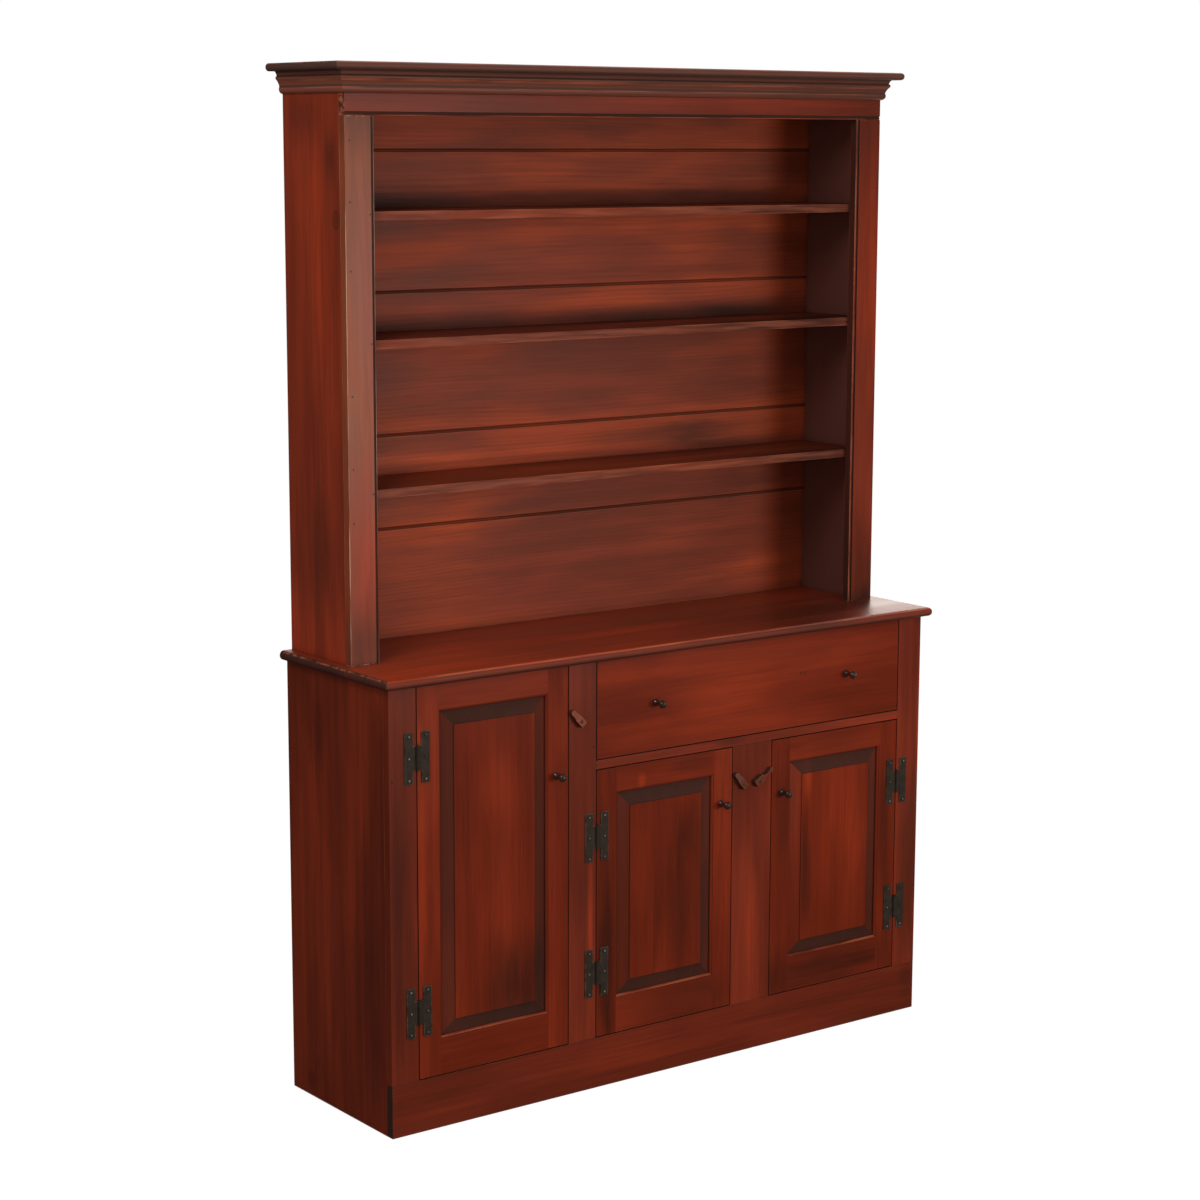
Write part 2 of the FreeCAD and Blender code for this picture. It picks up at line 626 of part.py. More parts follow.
def door_rail_section(high, mirror):
    """The same moulding and groove on the rail's inner edge, across (depth) and up."""
    curve = "sticking_wide" if mirror else "-1 * sticking_wide"
    edge = f"{mirror}{high}"
    shy = f"{mirror}({high} - sticking_wide)"
    deep = f"{mirror}({high} - panel_groove_deep)"
    return [
        ("0", "0"),
        ("0", shy),
        ("sticking_quirk", shy),
        ("sticking_quirk + sticking_wide", edge, curve),
        ("panel_groove_front", edge),
        ("panel_groove_front", deep),
        ("panel_groove_front + panel_groove_wide", deep),
        ("panel_groove_front + panel_groove_wide", edge),
        ("door_thick", edge),
        ("door_thick", "0"),
    ]


def door_stile(label, edge, mirror, low, high):
    stile = new_body(label, (edge, "0", low))
    pad(stile, outline(stile, "XY_Plane", [door_stile_section(mirror)]), f"({high} - {low})")
    mortise_wide = "(tenon_long - panel_groove_deep)"
    inward = "- door_stile_wide + panel_groove_deep" if mirror else "+ door_stile_wide - tenon_long"
    start = f"{edge} {inward}"
    foot_high = "(door_foot_rail_high - tenon_haunch - panel_groove_deep)"
    top_high = "(door_top_rail_high - tenon_haunch - panel_groove_deep)"
    for at_z, tall in (
        (f"{low} + tenon_haunch", foot_high),
        (f"{high} - door_top_rail_high + panel_groove_deep", top_high),
    ):
        notch(stile, (start, "panel_groove_front", at_z), (mortise_wide, "panel_groove_wide", tall))
    return stile


def door_rail(label, left, right, z_edge, rail_high, mirror):
    """A rail scribed over the stiles' moulding, with a haunched tenon at each end."""
    inner_left = f"({left} + door_stile_wide)"
    inner_right = f"({right} - door_stile_wide)"
    start = f"({inner_left} - sticking_wide)"
    long = f"({inner_right} - {inner_left} + 2 * sticking_wide)"
    rail = new_body(label, (start, "0", z_edge))
    pad(rail, outline(rail, "YZ_Plane", [door_rail_section(rail_high, mirror)]), long)
    scribes = [
        [
            ("0", "sticking_quirk"),
            ("sticking_wide", "sticking_quirk + sticking_wide", "sticking_wide"),
            ("sticking_wide", "door_thick"),
            ("0", "door_thick"),
        ],
        [
            (long, "sticking_quirk", "sticking_wide"),
            (long, "door_thick"),
            (f"{long} - sticking_wide", "door_thick"),
            (f"{long} - sticking_wide", "sticking_quirk + sticking_wide"),
        ],
    ]
    base = f"-1 * {rail_high}" if mirror else "0"
    pocket(rail, outline(rail, "XY_Plane", scribes, base), rail_high)
    haunch_low = f"{z_edge} - {rail_high} + panel_groove_deep" if mirror else z_edge
    tenon_low = haunch_low if mirror else f"{z_edge} + tenon_haunch"
    tall = f"({rail_high} - panel_groove_deep)"
    for near, far in (
        (f"{inner_left} - panel_groove_deep", f"{inner_left} - tenon_long"),
        (inner_right, inner_right),
    ):
        size = ("panel_groove_deep", "panel_groove_wide", tall)
        box(rail, "Additive", (near, "panel_groove_front", haunch_low), size)
        size = ("tenon_long", "panel_groove_wide", f"({tall} - tenon_haunch)")
        box(rail, "Additive", (far, "panel_groove_front", tenon_low), size)
    return rail


def door_panel(label, left, right, low, high):
    """A raised panel: its field stands proud of the frame, with a small step round it."""
    tongue = "(panel_groove_deep - panel_float)"
    wide = f"({right} - {left} - 2 * door_stile_wide + 2 * {tongue})"
    tall = f"({high} - {low} - door_top_rail_high - door_foot_rail_high + 2 * {tongue})"
    thick = "(panel_proud + panel_groove_front + panel_groove_wide)"
    foot = f"{low} + door_foot_rail_high - {tongue}"
    at = (f"{left} + door_stile_wide - {tongue}", "-1 * panel_proud", foot)
    panel = board(label, at, (wide, thick, tall))
    step = "panel_step"
    tongue_front = "(panel_proud + panel_groove_front)"
    field = f"({tongue} + panel_margin)"
    near = [("0", "0"), (field, "0"), (field, step), (tongue, tongue_front), ("0", tongue_front)]
    across = [near, [(f"{wide} - {u}", v) for u, v in near]]
    along = [[(v, u) for u, v in near], [(v, f"{tall} - {u}") for u, v in near]]
    pocket(panel, outline(panel, "XY_Plane", across), tall)
    pocket(panel, outline(panel, "YZ_Plane", along), wide)
    return panel


DOORS = {
    # name: opening's sides, underside and top, hinge side (1: its leaf runs to the right), knob height
    "left": (LEFT_OPEN, LEFT_CLOSE, COUNTER_UNDER, 1, LEFT_KNOB_HEIGHT),
    "middle": (MIDDLE_OPEN, MIDDLE_CLOSE, DRAWER_RAIL_UNDER, 1, SHORT_KNOB_HEIGHT),
    "right": (RIGHT_OPEN, RIGHT_CLOSE, DRAWER_RAIL_UNDER, -1, SHORT_KNOB_HEIGHT),
}


def door_edges(name):
    opening_left, opening_right, opening_top = DOORS[name][:3]
    left = f"({opening_left} + door_gap)"
    right = f"({opening_right} - door_gap)"
    low = "(foot_rail_high + door_gap)"
    high = f"({opening_top} - door_gap)"
    return left, right, low, high


def door(name):
    left, right, low, high = door_edges(name)
    side, knob_height = DOORS[name][3:]
    label = f"{name}_door"
    left_name, right_name = ("hinge", "lock") if side > 0 else ("lock", "hinge")
    stiles = {
        left_name: door_stile(f"{label}_{left_name}_stile", left, "", low, high),
        right_name: door_stile(f"{label}_{right_name}_stile", right, "-1 * ", low, high),
    }
    door_rail(f"{label}_foot_rail", left, right, low, "door_foot_rail_high", "")
    door_rail(f"{label}_top_rail", left, right, high, "door_top_rail_high", "-1 * ")
    door_panel(f"{label}_panel", left, right, low, high)
    knob_x = f"({right} - knob_from_edge)" if side > 0 else f"({left} + knob_from_edge)"
    knob(f"{label}_knob", knob_x, knob_height)
    peg_hole(stiles["lock"], knob_x, knob_height)
    return stiles["hinge"]


# ---------------------------------------------------------------- knobs

def knob(label, across, height, node=True):
    """A turned knob: foot, waisted neck, domed head, and a peg that goes into the wood."""
    body = new_body(label, (across, "0", height), node)
    head_start = "-1 * (knob_proud - knob_head_round)"
    shape = [
        ("0", "knob_peg_long"),
        ("0", "-1 * knob_proud"),
        ("knob_head_round", head_start, "knob_head_round"),
        ("knob_neck_round", "-1 * knob_neck_end", "-1 * knob_cove_round"),
        ("knob_neck_round", "-1 * knob_neck_start"),
        ("knob_foot_round", "-1 * knob_foot_thick", "-1 * knob_foot_curve"),
        ("knob_foot_round", "0"),
        ("knob_peg_round", "0"),
        ("knob_peg_round", "knob_peg_long"),
    ]
    turn(body, outline(body, "XY_Plane", [shape]))
    return body


def peg_hole(body, across, height):
    """A blind hole for a knob's peg."""
    own = PLACES[body.Label]
    centre = (f"({across}) - ({own[0]})", f"({height}) - ({own[2]})")
    hole = circle_outline(body, "XZ_Plane", *centre, ("knob_peg_round + peg_play",))
    pocket(body, hole, "knob_peg_long", back=True)


# ---------------------------------------------------------------- hinges

def hinge_leaf(label, axis_x, height, side, outer_knuckles):
    """Half of an H hinge: an upright bar, a neck and its knuckles round the pin."""
    mirror = "" if side > 0 else "-1 * "
    body = new_body(label, (axis_x, "0", height), node=False)
    inner = f"{mirror}(hinge_leaf_reach - hinge_leaf_wide / 2)"
    outer = f"{mirror}(hinge_leaf_reach + hinge_leaf_wide / 2)"
    clear = f"{mirror}({BARREL_OUT} + knuckle_gap)"
    half = "hinge_leaf_tall / 2"
    neck = "hinge_neck_tall / 2"
    third = "hinge_neck_tall / 6"
    outer_start = f"{third} + knuckle_gap / 2"
    inner_end = f"{third} - knuckle_gap / 2"
    if outer_knuckles:
        reach = [("0", neck), ("0", outer_start), (clear, outer_start)]
    else:
        reach = [(clear, neck), (clear, inner_end), ("0", inner_end)]
    top = [(outer, half), (inner, half), (inner, neck)] + reach
    foot = [(across, f"-1 * ({up})") for across, up in reversed(top)]
    pad(body, outline(body, "XZ_Plane", [top + foot]), "hinge_leaf_thick")
    if outer_knuckles:
        spans = [(outer_start, neck), (f"-1 * {neck}", f"-1 * ({outer_start})")]
    else:
        spans = [(f"-1 * ({inner_end})", inner_end)]
    for low, high in spans:
        ring = circle_outline(body, "XY_Plane", "0", f"-1 * {BARREL_OUT}", ("barrel_round",), low)
        pad(body, ring, f"({high}) - ({low})")
    pin_hole = ("hinge_pin_round + hinge_pin_play",)
    bore = circle_outline(body, "XY_Plane", "0", f"-1 * {BARREL_OUT}", pin_hole, f"-1 * ({neck})")
    pocket(body, bore, "hinge_neck_tall")
    for x_place, z_place in nail_places(axis_x, height, side):
        nail_hole(body, x_place, z_place, "-1 * hinge_leaf_thick", "hinge_leaf_thick")
    return body


def nail_places(axis_x, height, side):
    mirror = "" if side > 0 else "-1 * "
    across = f"({axis_x} + {mirror}hinge_leaf_reach)"
    return [(across, f"({height} + {step} * {NAIL_STEP})") for step in (-1, 0, 1)]


def nail_hole(body, across, height, start, length):
    at = (f"{across} - nail_shank / 2", start, f"{height} - nail_shank / 2")
    notch(body, at, ("nail_shank", length, "nail_shank"))


def nail(label, across, height):
    """A hand-made nail: a square shank and a low pointed head."""
    body = new_body(label, (across, "-1 * hinge_leaf_thick", height), node=False)
    at = (f"{across} - nail_shank / 2", "-1 * hinge_leaf_thick", f"{height} - nail_shank / 2")
    box(body, "Additive", at, ("nail_shank", "hinge_leaf_thick + nail_long", "nail_shank"))
    head = body.newObject("PartDesign::AdditiveWedge", "Head")
    for prop, words in (
        ("Ymin", "-1 * nail_head_high"), ("Ymax", "0"),
        ("Xmin", "-1 * nail_head_tip / 2"), ("Xmax", "nail_head_tip / 2"),
        ("Zmin", "-1 * nail_head_tip / 2"), ("Zmax", "nail_head_tip / 2"),
        ("X2min", "-1 * nail_head_wide / 2"), ("X2max", "nail_head_wide / 2"),
        ("Z2min", "-1 * nail_head_wide / 2"), ("Z2max", "nail_head_wide / 2"),
    ):
        bind(head, prop, words)
    return body


def hinge_pin(label, axis_x, height):
    """A pin with both ends peened over the barrel."""
    body = new_body(label, (axis_x, f"-1 * {BARREL_OUT}", height), node=False)
    end = "hinge_neck_tall / 2"
    shape = [
        ("0", f"-1 * ({end} + hinge_pin_head_high)"),
        ("hinge_pin_head_round", f"-1 * ({end} + hinge_pin_head_high)"),
        ("hinge_pin_head_round", f"-1 * {end}"),
        ("hinge_pin_round", f"-1 * {end}"),
        ("hinge_pin_round", end),
        ("hinge_pin_head_round", end),
        ("hinge_pin_head_round", f"{end} + hinge_pin_head_high"),
        ("0", f"{end} + hinge_pin_head_high"),
    ]
    turn(body, outline(body, "XZ_Plane", [shape]))
    return body


def hinges(door_stiles, frame_stiles):
    cabinet_leaves, cabinet_nails, pins = [], [], []
    for name, stile in door_stiles.items():
        side = DOORS[name][3]
        low, high = door_edges(name)[2:]
        opening_left, opening_right = DOORS[name][:2]
        axis_x = f"({opening_left} + door_gap / 2)" if side > 0 else f"({opening_right} - door_gap / 2)"
        heights = {"low": f"({low} + hinge_from_end)", "high": f"({high} - hinge_from_end)"}
        leaves, nails = [], []
        for place, height in heights.items():
            title = f"{name}_{place}"
            cabinet_leaves.append(hinge_leaf(f"cabinet_leaf_{title}", axis_x, height, -side, True))
            leaves.append(hinge_leaf(f"door_leaf_{title}", axis_x, height, side, False))
            pins.append(hinge_pin(f"pin_{title}", axis_x, height))
            for index, (across, up) in enumerate(nail_places(axis_x, height, -side)):
                cabinet_nails.append(nail(f"cabinet_nail_{title}_{index}", across, up))
                nail_hole(frame_stiles[name], across, up, "0", "nail_long")
            for index, (across, up) in enumerate(nail_places(axis_x, height, side)):
                nails.append(nail(f"door_nail_{title}_{index}", across, up))
                nail_hole(stile, across, up, "0", "nail_long")
        group(f"{name}_door_hinge_leaves", leaves)
        group(f"{name}_door_hinge_nails", nails)
    group("cabinet_hinge_leaves", cabinet_leaves)
    group("cabinet_hinge_nails", cabinet_nails)
    group("hinge_pins", pins)


# ---------------------------------------------------------------- drawer

def tail_heights(low, high):
    """Lower and upper edge of each dovetail at its wide end, in a row from low to high."""
    pitch = f"(({high} - {low}) / drawer_tails)"
    heights = []
    for index in range(int(value("drawer_tails"))):
        under = f"{low} + {index} * {pitch} + pin_narrow / 2"
        over = f"{low} + {index + 1} * {pitch} - pin_narrow / 2"
        heights.append((under, over))
    return heights


def tails(end, base, low, high):
    """Outlines of the dovetails, from the board's end to the line they start from."""
    return [
        [(end, under), (end, over), (base, f"{over} - pin_slope"), (base, f"{under} + pin_slope")]
        for under, over in tail_heights(low, high)
    ]


def pins(end, base, foot, low, high):
    """Outlines of what stands between the dovetails, with a half pin below and above them."""
    row = [(foot, foot)]
    for under, over in tail_heights(low, high):
        row.append((under, f"{under} + pin_slope"))
        row.append((over, f"{over} - pin_slope"))
    row.append((high, high))
    return [
        [(end, under[0]), (end, over[0]), (base, over[1]), (base, under[1])]
        for under, over in zip(row[::2], row[1::2])
    ]


def drawer_side(name, at_x, groove_x, bottom):
    """A side with dovetails at both ends: blind ones in the front, through ones in the back."""
    start = "(door_thick - drawer_side_lap)"
    long = f"({DRAWER_LONG} - {start})"
    at = (at_x, start, DRAWER_RAIL_TOP)
    side = board(f"drawer_{name}_side", at, ("drawer_side_thick", long, DRAWER_SIDE_HIGH), node=False)
    notch(side, (groove_x, start, bottom), ("drawer_bottom_in", long, "drawer_bottom_thick"))
    back_low = "(drawer_bottom_up + drawer_bottom_thick)"
    waste = pins("0", "drawer_side_lap", "0", "door_gap", DRAWER_SIDE_HIGH)
    waste += pins(long, f"{long} - drawer_side_thick", back_low, back_low, DRAWER_SIDE_HIGH)
    pocket(side, outline(side, "YZ_Plane", waste), "drawer_side_thick")
    return side


def drawer():
    left = f"({MIDDLE_OPEN} + door_gap)"
    right = f"({RIGHT_CLOSE} - door_gap)"
    wide = f"({right} - {left})"
    low = f"({DRAWER_RAIL_TOP} + door_gap)"
    bottom = f"({DRAWER_RAIL_TOP} + drawer_bottom_up)"
    right_side = f"({right} - drawer_side_thick)"
    bottom_left = f"({left} + drawer_side_thick - drawer_bottom_in)"
    bottom_wide = f"({wide} - 2 * drawer_side_thick + 2 * drawer_bottom_in)"
    bottom_start = "(door_thick - drawer_bottom_in)"
    back_high = f"({DRAWER_SIDE_HIGH} - drawer_bottom_up - drawer_bottom_thick)"
    size = (wide, "door_thick", "(drawer_opening_high - 2 * door_gap)")
    front = board("drawer_front", (left, "0", low), size)
    size = (bottom_wide, "drawer_bottom_in", "drawer_bottom_thick")
    notch(front, (bottom_left, bottom_start, bottom), size)
    at = (left, f"{DRAWER_LONG} - drawer_side_thick", f"{bottom} + drawer_bottom_thick")
    back = board("drawer_back", at, (wide, "drawer_side_thick", back_high))
    lap_high = f"({DRAWER_SIDE_HIGH} - door_gap)"
    front_tails = tails("door_thick - drawer_side_lap", "door_thick", "0", lap_high)
    back_tails = tails("drawer_side_thick", "0", "0", back_high)
    for offset in ("0", f"{wide} - drawer_side_thick"):
        pocket(front, outline(front, "YZ_Plane", front_tails, offset), "drawer_side_thick")
        pocket(back, outline(back, "YZ_Plane", back_tails, offset), "drawer_side_thick")
    sides = [
        drawer_side("left", left, bottom_left, bottom),
        drawer_side("right", right_side, right_side, bottom),
    ]
    group("drawer_sides", sides)
    size = (bottom_wide, f"({DRAWER_LONG} - {bottom_start})", "drawer_bottom_thick")
    board("drawer_bottom", (bottom_left, bottom_start, bottom), size)
    knobs = []
    for name, at_x in (
        ("left", f"({MIDDLE_OPEN} + drawer_knob_from_end)"),
        ("right", f"({RIGHT_CLOSE} - drawer_knob_from_end)"),
    ):
        knobs.append(knob(f"drawer_knob_{name}", at_x, DRAWER_KNOB_HEIGHT, node=False))
        peg_hole(front, at_x, DRAWER_KNOB_HEIGHT)
    group("drawer_knobs", knobs)


# ---------------------------------------------------------------- turn buttons

def turn_button(label, across, height, reach, room, side):
    """A wooden button on a screw, turned up until its nose is just clear of the door."""
    mirror = "" if side > 0 else "-1 * "
    body = new_body(label, (across, "0", height))
    nose = f"({reach} - button_nose_round)"
    bend = 1 if side > 0 else -1
    shape = [
        (f"{mirror}(-1 * button_tail)", "-1 * button_high / 2"),
        (f"{mirror}button_tail", "-1 * button_high / 2"),
        (f"{mirror}{nose}", "-1 * button_nose_round", f"{-bend} * button_waist_round"),
        (f"{mirror}{reach}", "0", f"{bend} * button_nose_round"),
        (f"{mirror}{nose}", "button_nose_round", f"{bend} * button_nose_round"),
        (f"{mirror}button_tail", "button_high / 2", f"{-bend} * button_waist_round"),
        (f"{mirror}(-1 * button_tail)", "button_high / 2"),
    ]
    pad(body, outline(body, "XZ_Plane", [shape]), "button_thick")
    slope = [
        (f"{mirror}button_tail", "-1 * button_thick"),
        (f"{mirror}{reach}", "-1 * button_thick"),
        (f"{mirror}{reach}", "-1 * (button_nose_thick + button_relief)"),
    ]
    relief = [
        (f"{mirror}button_tail", "0"),
        (f"{mirror}{reach}", "0"),
        (f"{mirror}{reach}", "-1 * button_relief"),
        (f"{mirror}button_tail", "-1 * button_relief"),
    ]
    pocket(body, outline(body, "XY_Plane", [slope, relief], "-1 * button_high / 2"), "button_high")
    bore = circle_outline(body, "XZ_Plane", "0", "0", ("screw_round + screw_play",))
    pocket(body, bore, "button_thick")
    body.Placement.Rotation = FreeCAD.Rotation(FreeCAD.Vector(0, -side, 0), ANY_ANGLE)
    cosine = f"({room} - button_nose_round - button_clear) / ({reach} - button_nose_round)"
    bind(body, "Placement.Rotation.Angle", f"acos(min({cosine}; 1))")
    return body


def button_screw(label, across, height):
    """A round-headed slotted screw that the button turns on."""
    body = new_body(label, (across, "0", height), node=False)
    shape = [
        ("0", "screw_long"),
        ("0", "-1 * (button_thick + screw_head_high)"),
        ("screw_head_round", "-1 * button_thick", "screw_dome_round"),
        ("screw_round", "-1 * button_thick"),
        ("screw_round", "screw_long"),
    ]
    turn(body, outline(body, "XY_Plane", [shape]))
    tip = "-1 * (button_thick + screw_head_high)"
    at = (f"{across} - screw_head_round", tip, f"{height} - screw_slot_wide / 2")
    notch(body, at, ("2 * screw_head_round", "screw_slot_deep", "screw_slot_wide"))
    return body


def turn_buttons(frame_stiles):
    screws = []
    for name, stile, across, height, reach, room, side in (
        ("left", "middle", f"({LEFT_CLOSE} + left_button_in)", LEFT_BUTTON_HEIGHT,
         "button_reach", "left_button_in", -1),
        ("middle", "centre", f"({MIDDLE_CLOSE} + middle_button_in)", SHORT_BUTTON_HEIGHT,
         "button_reach", "middle_button_in", -1),
        ("right", "centre", f"({RIGHT_OPEN} - right_button_in)", SHORT_BUTTON_HEIGHT,
         "right_button_reach", "right_button_in", 1),
    ):
        turn_button(f"{name}_turn_button", across, height, reach, room, side)
        screws.append(button_screw(f"button_screw_{name}", across, height))
        body = frame_stiles[stile]
        own = PLACES[body.Label]
        centre = (f"({across}) - ({own[0]})", f"({height}) - ({own[2]})")
        hole = circle_outline(body, "XZ_Plane", *centre, ("screw_round + screw_play",))
        pocket(body, hole, "screw_long", back=True)
    group("button_screws", screws)


# ---------------------------------------------------------------- the whole

def build():
    base_sides()
    base_frame()
    base_inside()
    drawer_runners()
    counter()
    upper_sides()
    upper_frame()
    upper_shelves()
    upper_back()
    crown()
    cap()
    drawer()
    frame_stiles = {name: NODES[f"base_{name}_stile"] for name in ("left", "middle", "centre", "right")}
    hinges({name: door(name) for name in DOORS}, frame_stiles)
    turn_buttons(frame_stiles)


def write_parts():
    doc.recompute()
    for thing in doc.Objects:
        if {"Invalid", "Error"} & set(thing.State):
            raise RuntimeError(f"{thing.Name} ({thing.Label}) failed: {thing.State}")
    for label, thing in NODES.items():
        if thing.Shape.isNull() or not thing.Shape.isValid() or not thing.Shape.Solids:
            raise RuntimeError(f"{label} has no valid solid")
    os.makedirs("parts", exist_ok=True)
    for label, thing in NODES.items():
        thing.Shape.exportStep(f"parts/{label}.step")


build()
write_parts()
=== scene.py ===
"""Finish and setting of the step back cupboard.

The cupboard's boards get eased edges and a solid grain that runs along each
board, under a red-brown stain and a satin lacquer; some of their dark and pale
marks are painted shade and painted highlights. The turned, moulded and forged
pieces are made here at full detail. Lengths are in metres: x runs to the
cupboard's right, y to its back, z up, and the origin is on the floor.
"""

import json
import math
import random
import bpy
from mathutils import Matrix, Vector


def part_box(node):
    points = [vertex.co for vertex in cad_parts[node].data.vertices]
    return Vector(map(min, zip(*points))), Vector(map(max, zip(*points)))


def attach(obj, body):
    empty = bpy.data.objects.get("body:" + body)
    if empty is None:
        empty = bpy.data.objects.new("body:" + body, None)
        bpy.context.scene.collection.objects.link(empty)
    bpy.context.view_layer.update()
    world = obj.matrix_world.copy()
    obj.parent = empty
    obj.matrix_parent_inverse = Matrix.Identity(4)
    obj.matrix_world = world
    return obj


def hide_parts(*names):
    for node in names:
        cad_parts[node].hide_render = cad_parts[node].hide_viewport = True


bl_info = {
    "name": "Step Back Cupboard",
    "version": (1, 0, 0),
    "blender": (4, 5, 0),
    "location": "3D View > Sidebar > Cupboard",
    "description": "Finishes the boards, mouldings and ironwork of a step back cupboard",
    "category": "Add Mesh",
}

import bmesh
import bpy
from mathutils import Vector

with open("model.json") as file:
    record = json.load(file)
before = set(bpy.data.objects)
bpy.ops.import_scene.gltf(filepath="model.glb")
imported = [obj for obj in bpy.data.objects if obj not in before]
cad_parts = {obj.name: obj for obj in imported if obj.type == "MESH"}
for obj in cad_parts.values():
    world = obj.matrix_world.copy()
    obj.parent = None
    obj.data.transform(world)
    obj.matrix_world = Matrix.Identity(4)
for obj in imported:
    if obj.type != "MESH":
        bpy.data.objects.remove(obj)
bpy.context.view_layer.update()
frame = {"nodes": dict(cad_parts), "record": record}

MM = 0.001
AXES = {"x": 0, "y": 1, "z": 2}
DOORS = ("left", "middle", "right")
TREES = {}
FINISHES = {}

BASE_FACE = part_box("drawer_front")[0].y
UPPER_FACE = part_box("upper_header")[0].y
BACK_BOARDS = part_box("upper_back_boards")[0].y
BASE_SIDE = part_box("base_left_side")[0].x
UPPER_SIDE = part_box("upper_left_side")[0].x
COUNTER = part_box("counter_top")[1].z

WELD = 0.003 * MM  # corners nearer than this are one
SHARP = 38.0  # degrees: edges that turn by more are sanded
PATCH_DEEP = 50 * MM  # how far a patch of stain reaches off its face
FILLED_NAIL = 2.2 * MM  # radius of a filled nail hole
RING_WIDE = 5.5 * MM
TRUNK_TAPER = 0.011  # how fast the year rings widen along a board
# how strongly the case shows its grain and wear, and how dark the left and the right
# bevel of each door's panel is painted; the right bevel's dark is a painted shadow
SATIN = {"Rings": 0.16, "Streaks": 0.55, "Patches": 0.4, "Rubbed": 0.75, "Dull": 0.31}
PANEL_BEVEL_DARKNESS = {"left": (0.6, 0.7), "middle": (0.3, 0.75), "right": (0.12, 0.7)}


def stain(red, green, blue):
    """A colour given as a screen shows it, 0 to 255, as the plain values that a shader takes."""
    return tuple(((c / 255 + 0.055) / 1.055) ** 2.4 for c in (red, green, blue)) + (1.0,)


# ---------------------------------------------------------------- settings


def colour_setting(name, description, *screen):
    return bpy.props.FloatVectorProperty(
        name=name, description=description, subtype="COLOR", size=4, min=0, max=1,
        default=stain(*screen))


def length_setting(name, description, least, most, default):
    return bpy.props.FloatProperty(
        name=name, description=description, unit="LENGTH", min=least, max=most, default=default)


class CupboardFinish(bpy.types.PropertyGroup):
    """Colours and surface of the woods and the ironwork"""

    case_stain: colour_setting("Case stain", "Middle colour of the case boards", 116, 39, 18)
    door_stain: colour_setting(
        "Door stain", "Middle colour of the door frames and the drawer front", 116, 37, 15)
    # The glow colour is also the colour of the painted light in the warm patches.
    glow: colour_setting("Glow", "Warm colour where the stain is thin, and of painted light", 152, 50, 18)
    # The glaze colour is also the colour of the painted shade in recesses and in the dark patches.
    glaze: colour_setting("Glaze And Shade", "Dark colour of the grain and thick stain, and of painted shade in corners and recesses", 44, 22, 15)
    # The worn colour is also the colour of painted highlights on beads, sills, noses and crown turns.
    worn: colour_setting("Worn edge and highlight", "Paler colour where the edges are rubbed through, and of painted highlights", 178, 94, 62)
    # The end grain colour is also the colour of painted shade on gap edges, undersides, hollows and bevels.
    end_grain_and_shade: colour_setting(
        "End grain and shade", "Colour of cut board ends, which drink more stain, and of painted shade", 50, 32, 24)
    bare: colour_setting("Bare wood", "Colour of the inside boards", 172, 134, 96)
    button: colour_setting("Button stain", "Colour of the turn buttons", 122, 52, 28)
    iron: colour_setting("Black iron", "Colour of the hinges and their nails", 59, 49, 41)
    ring_wide: length_setting("Year rings", "Distance between two year rings", 0.001, 0.02, RING_WIDE)
    eased: length_setting(
        "Eased edge", "Width of the sanded edge of every board", 0.0001, 0.003, 0.0009)


class CupboardSizes(bpy.types.PropertyGroup):
    """Sizes of the mouldings and small pieces"""

    counter_nose: length_setting(
        "Counter nose", "Radius of the counter's rounded edge", 0.002, 0.02, 0.0097)
    cap_nose: length_setting("Cap nose", "Radius of the cap board's rounded edge", 0.002, 0.02, 0.0077)
    corner_round: length_setting(
        "Worn corner", "Radius of the counter's and cap's front corners", 0.0005, 0.02, 0.0025)
    knob_head: length_setting("Knob head", "Radius of the knobs' heads", 0.004, 0.02, 0.009)
    knob_proud: length_setting("Knob length", "How far a knob stands out", 0.01, 0.06, 0.03)
    turning_steps: bpy.props.IntProperty(
        name="Turning steps", description="Facets round each turned knob",
        min=16, max=128, default=48)


# ---------------------------------------------------------------- shader nodes


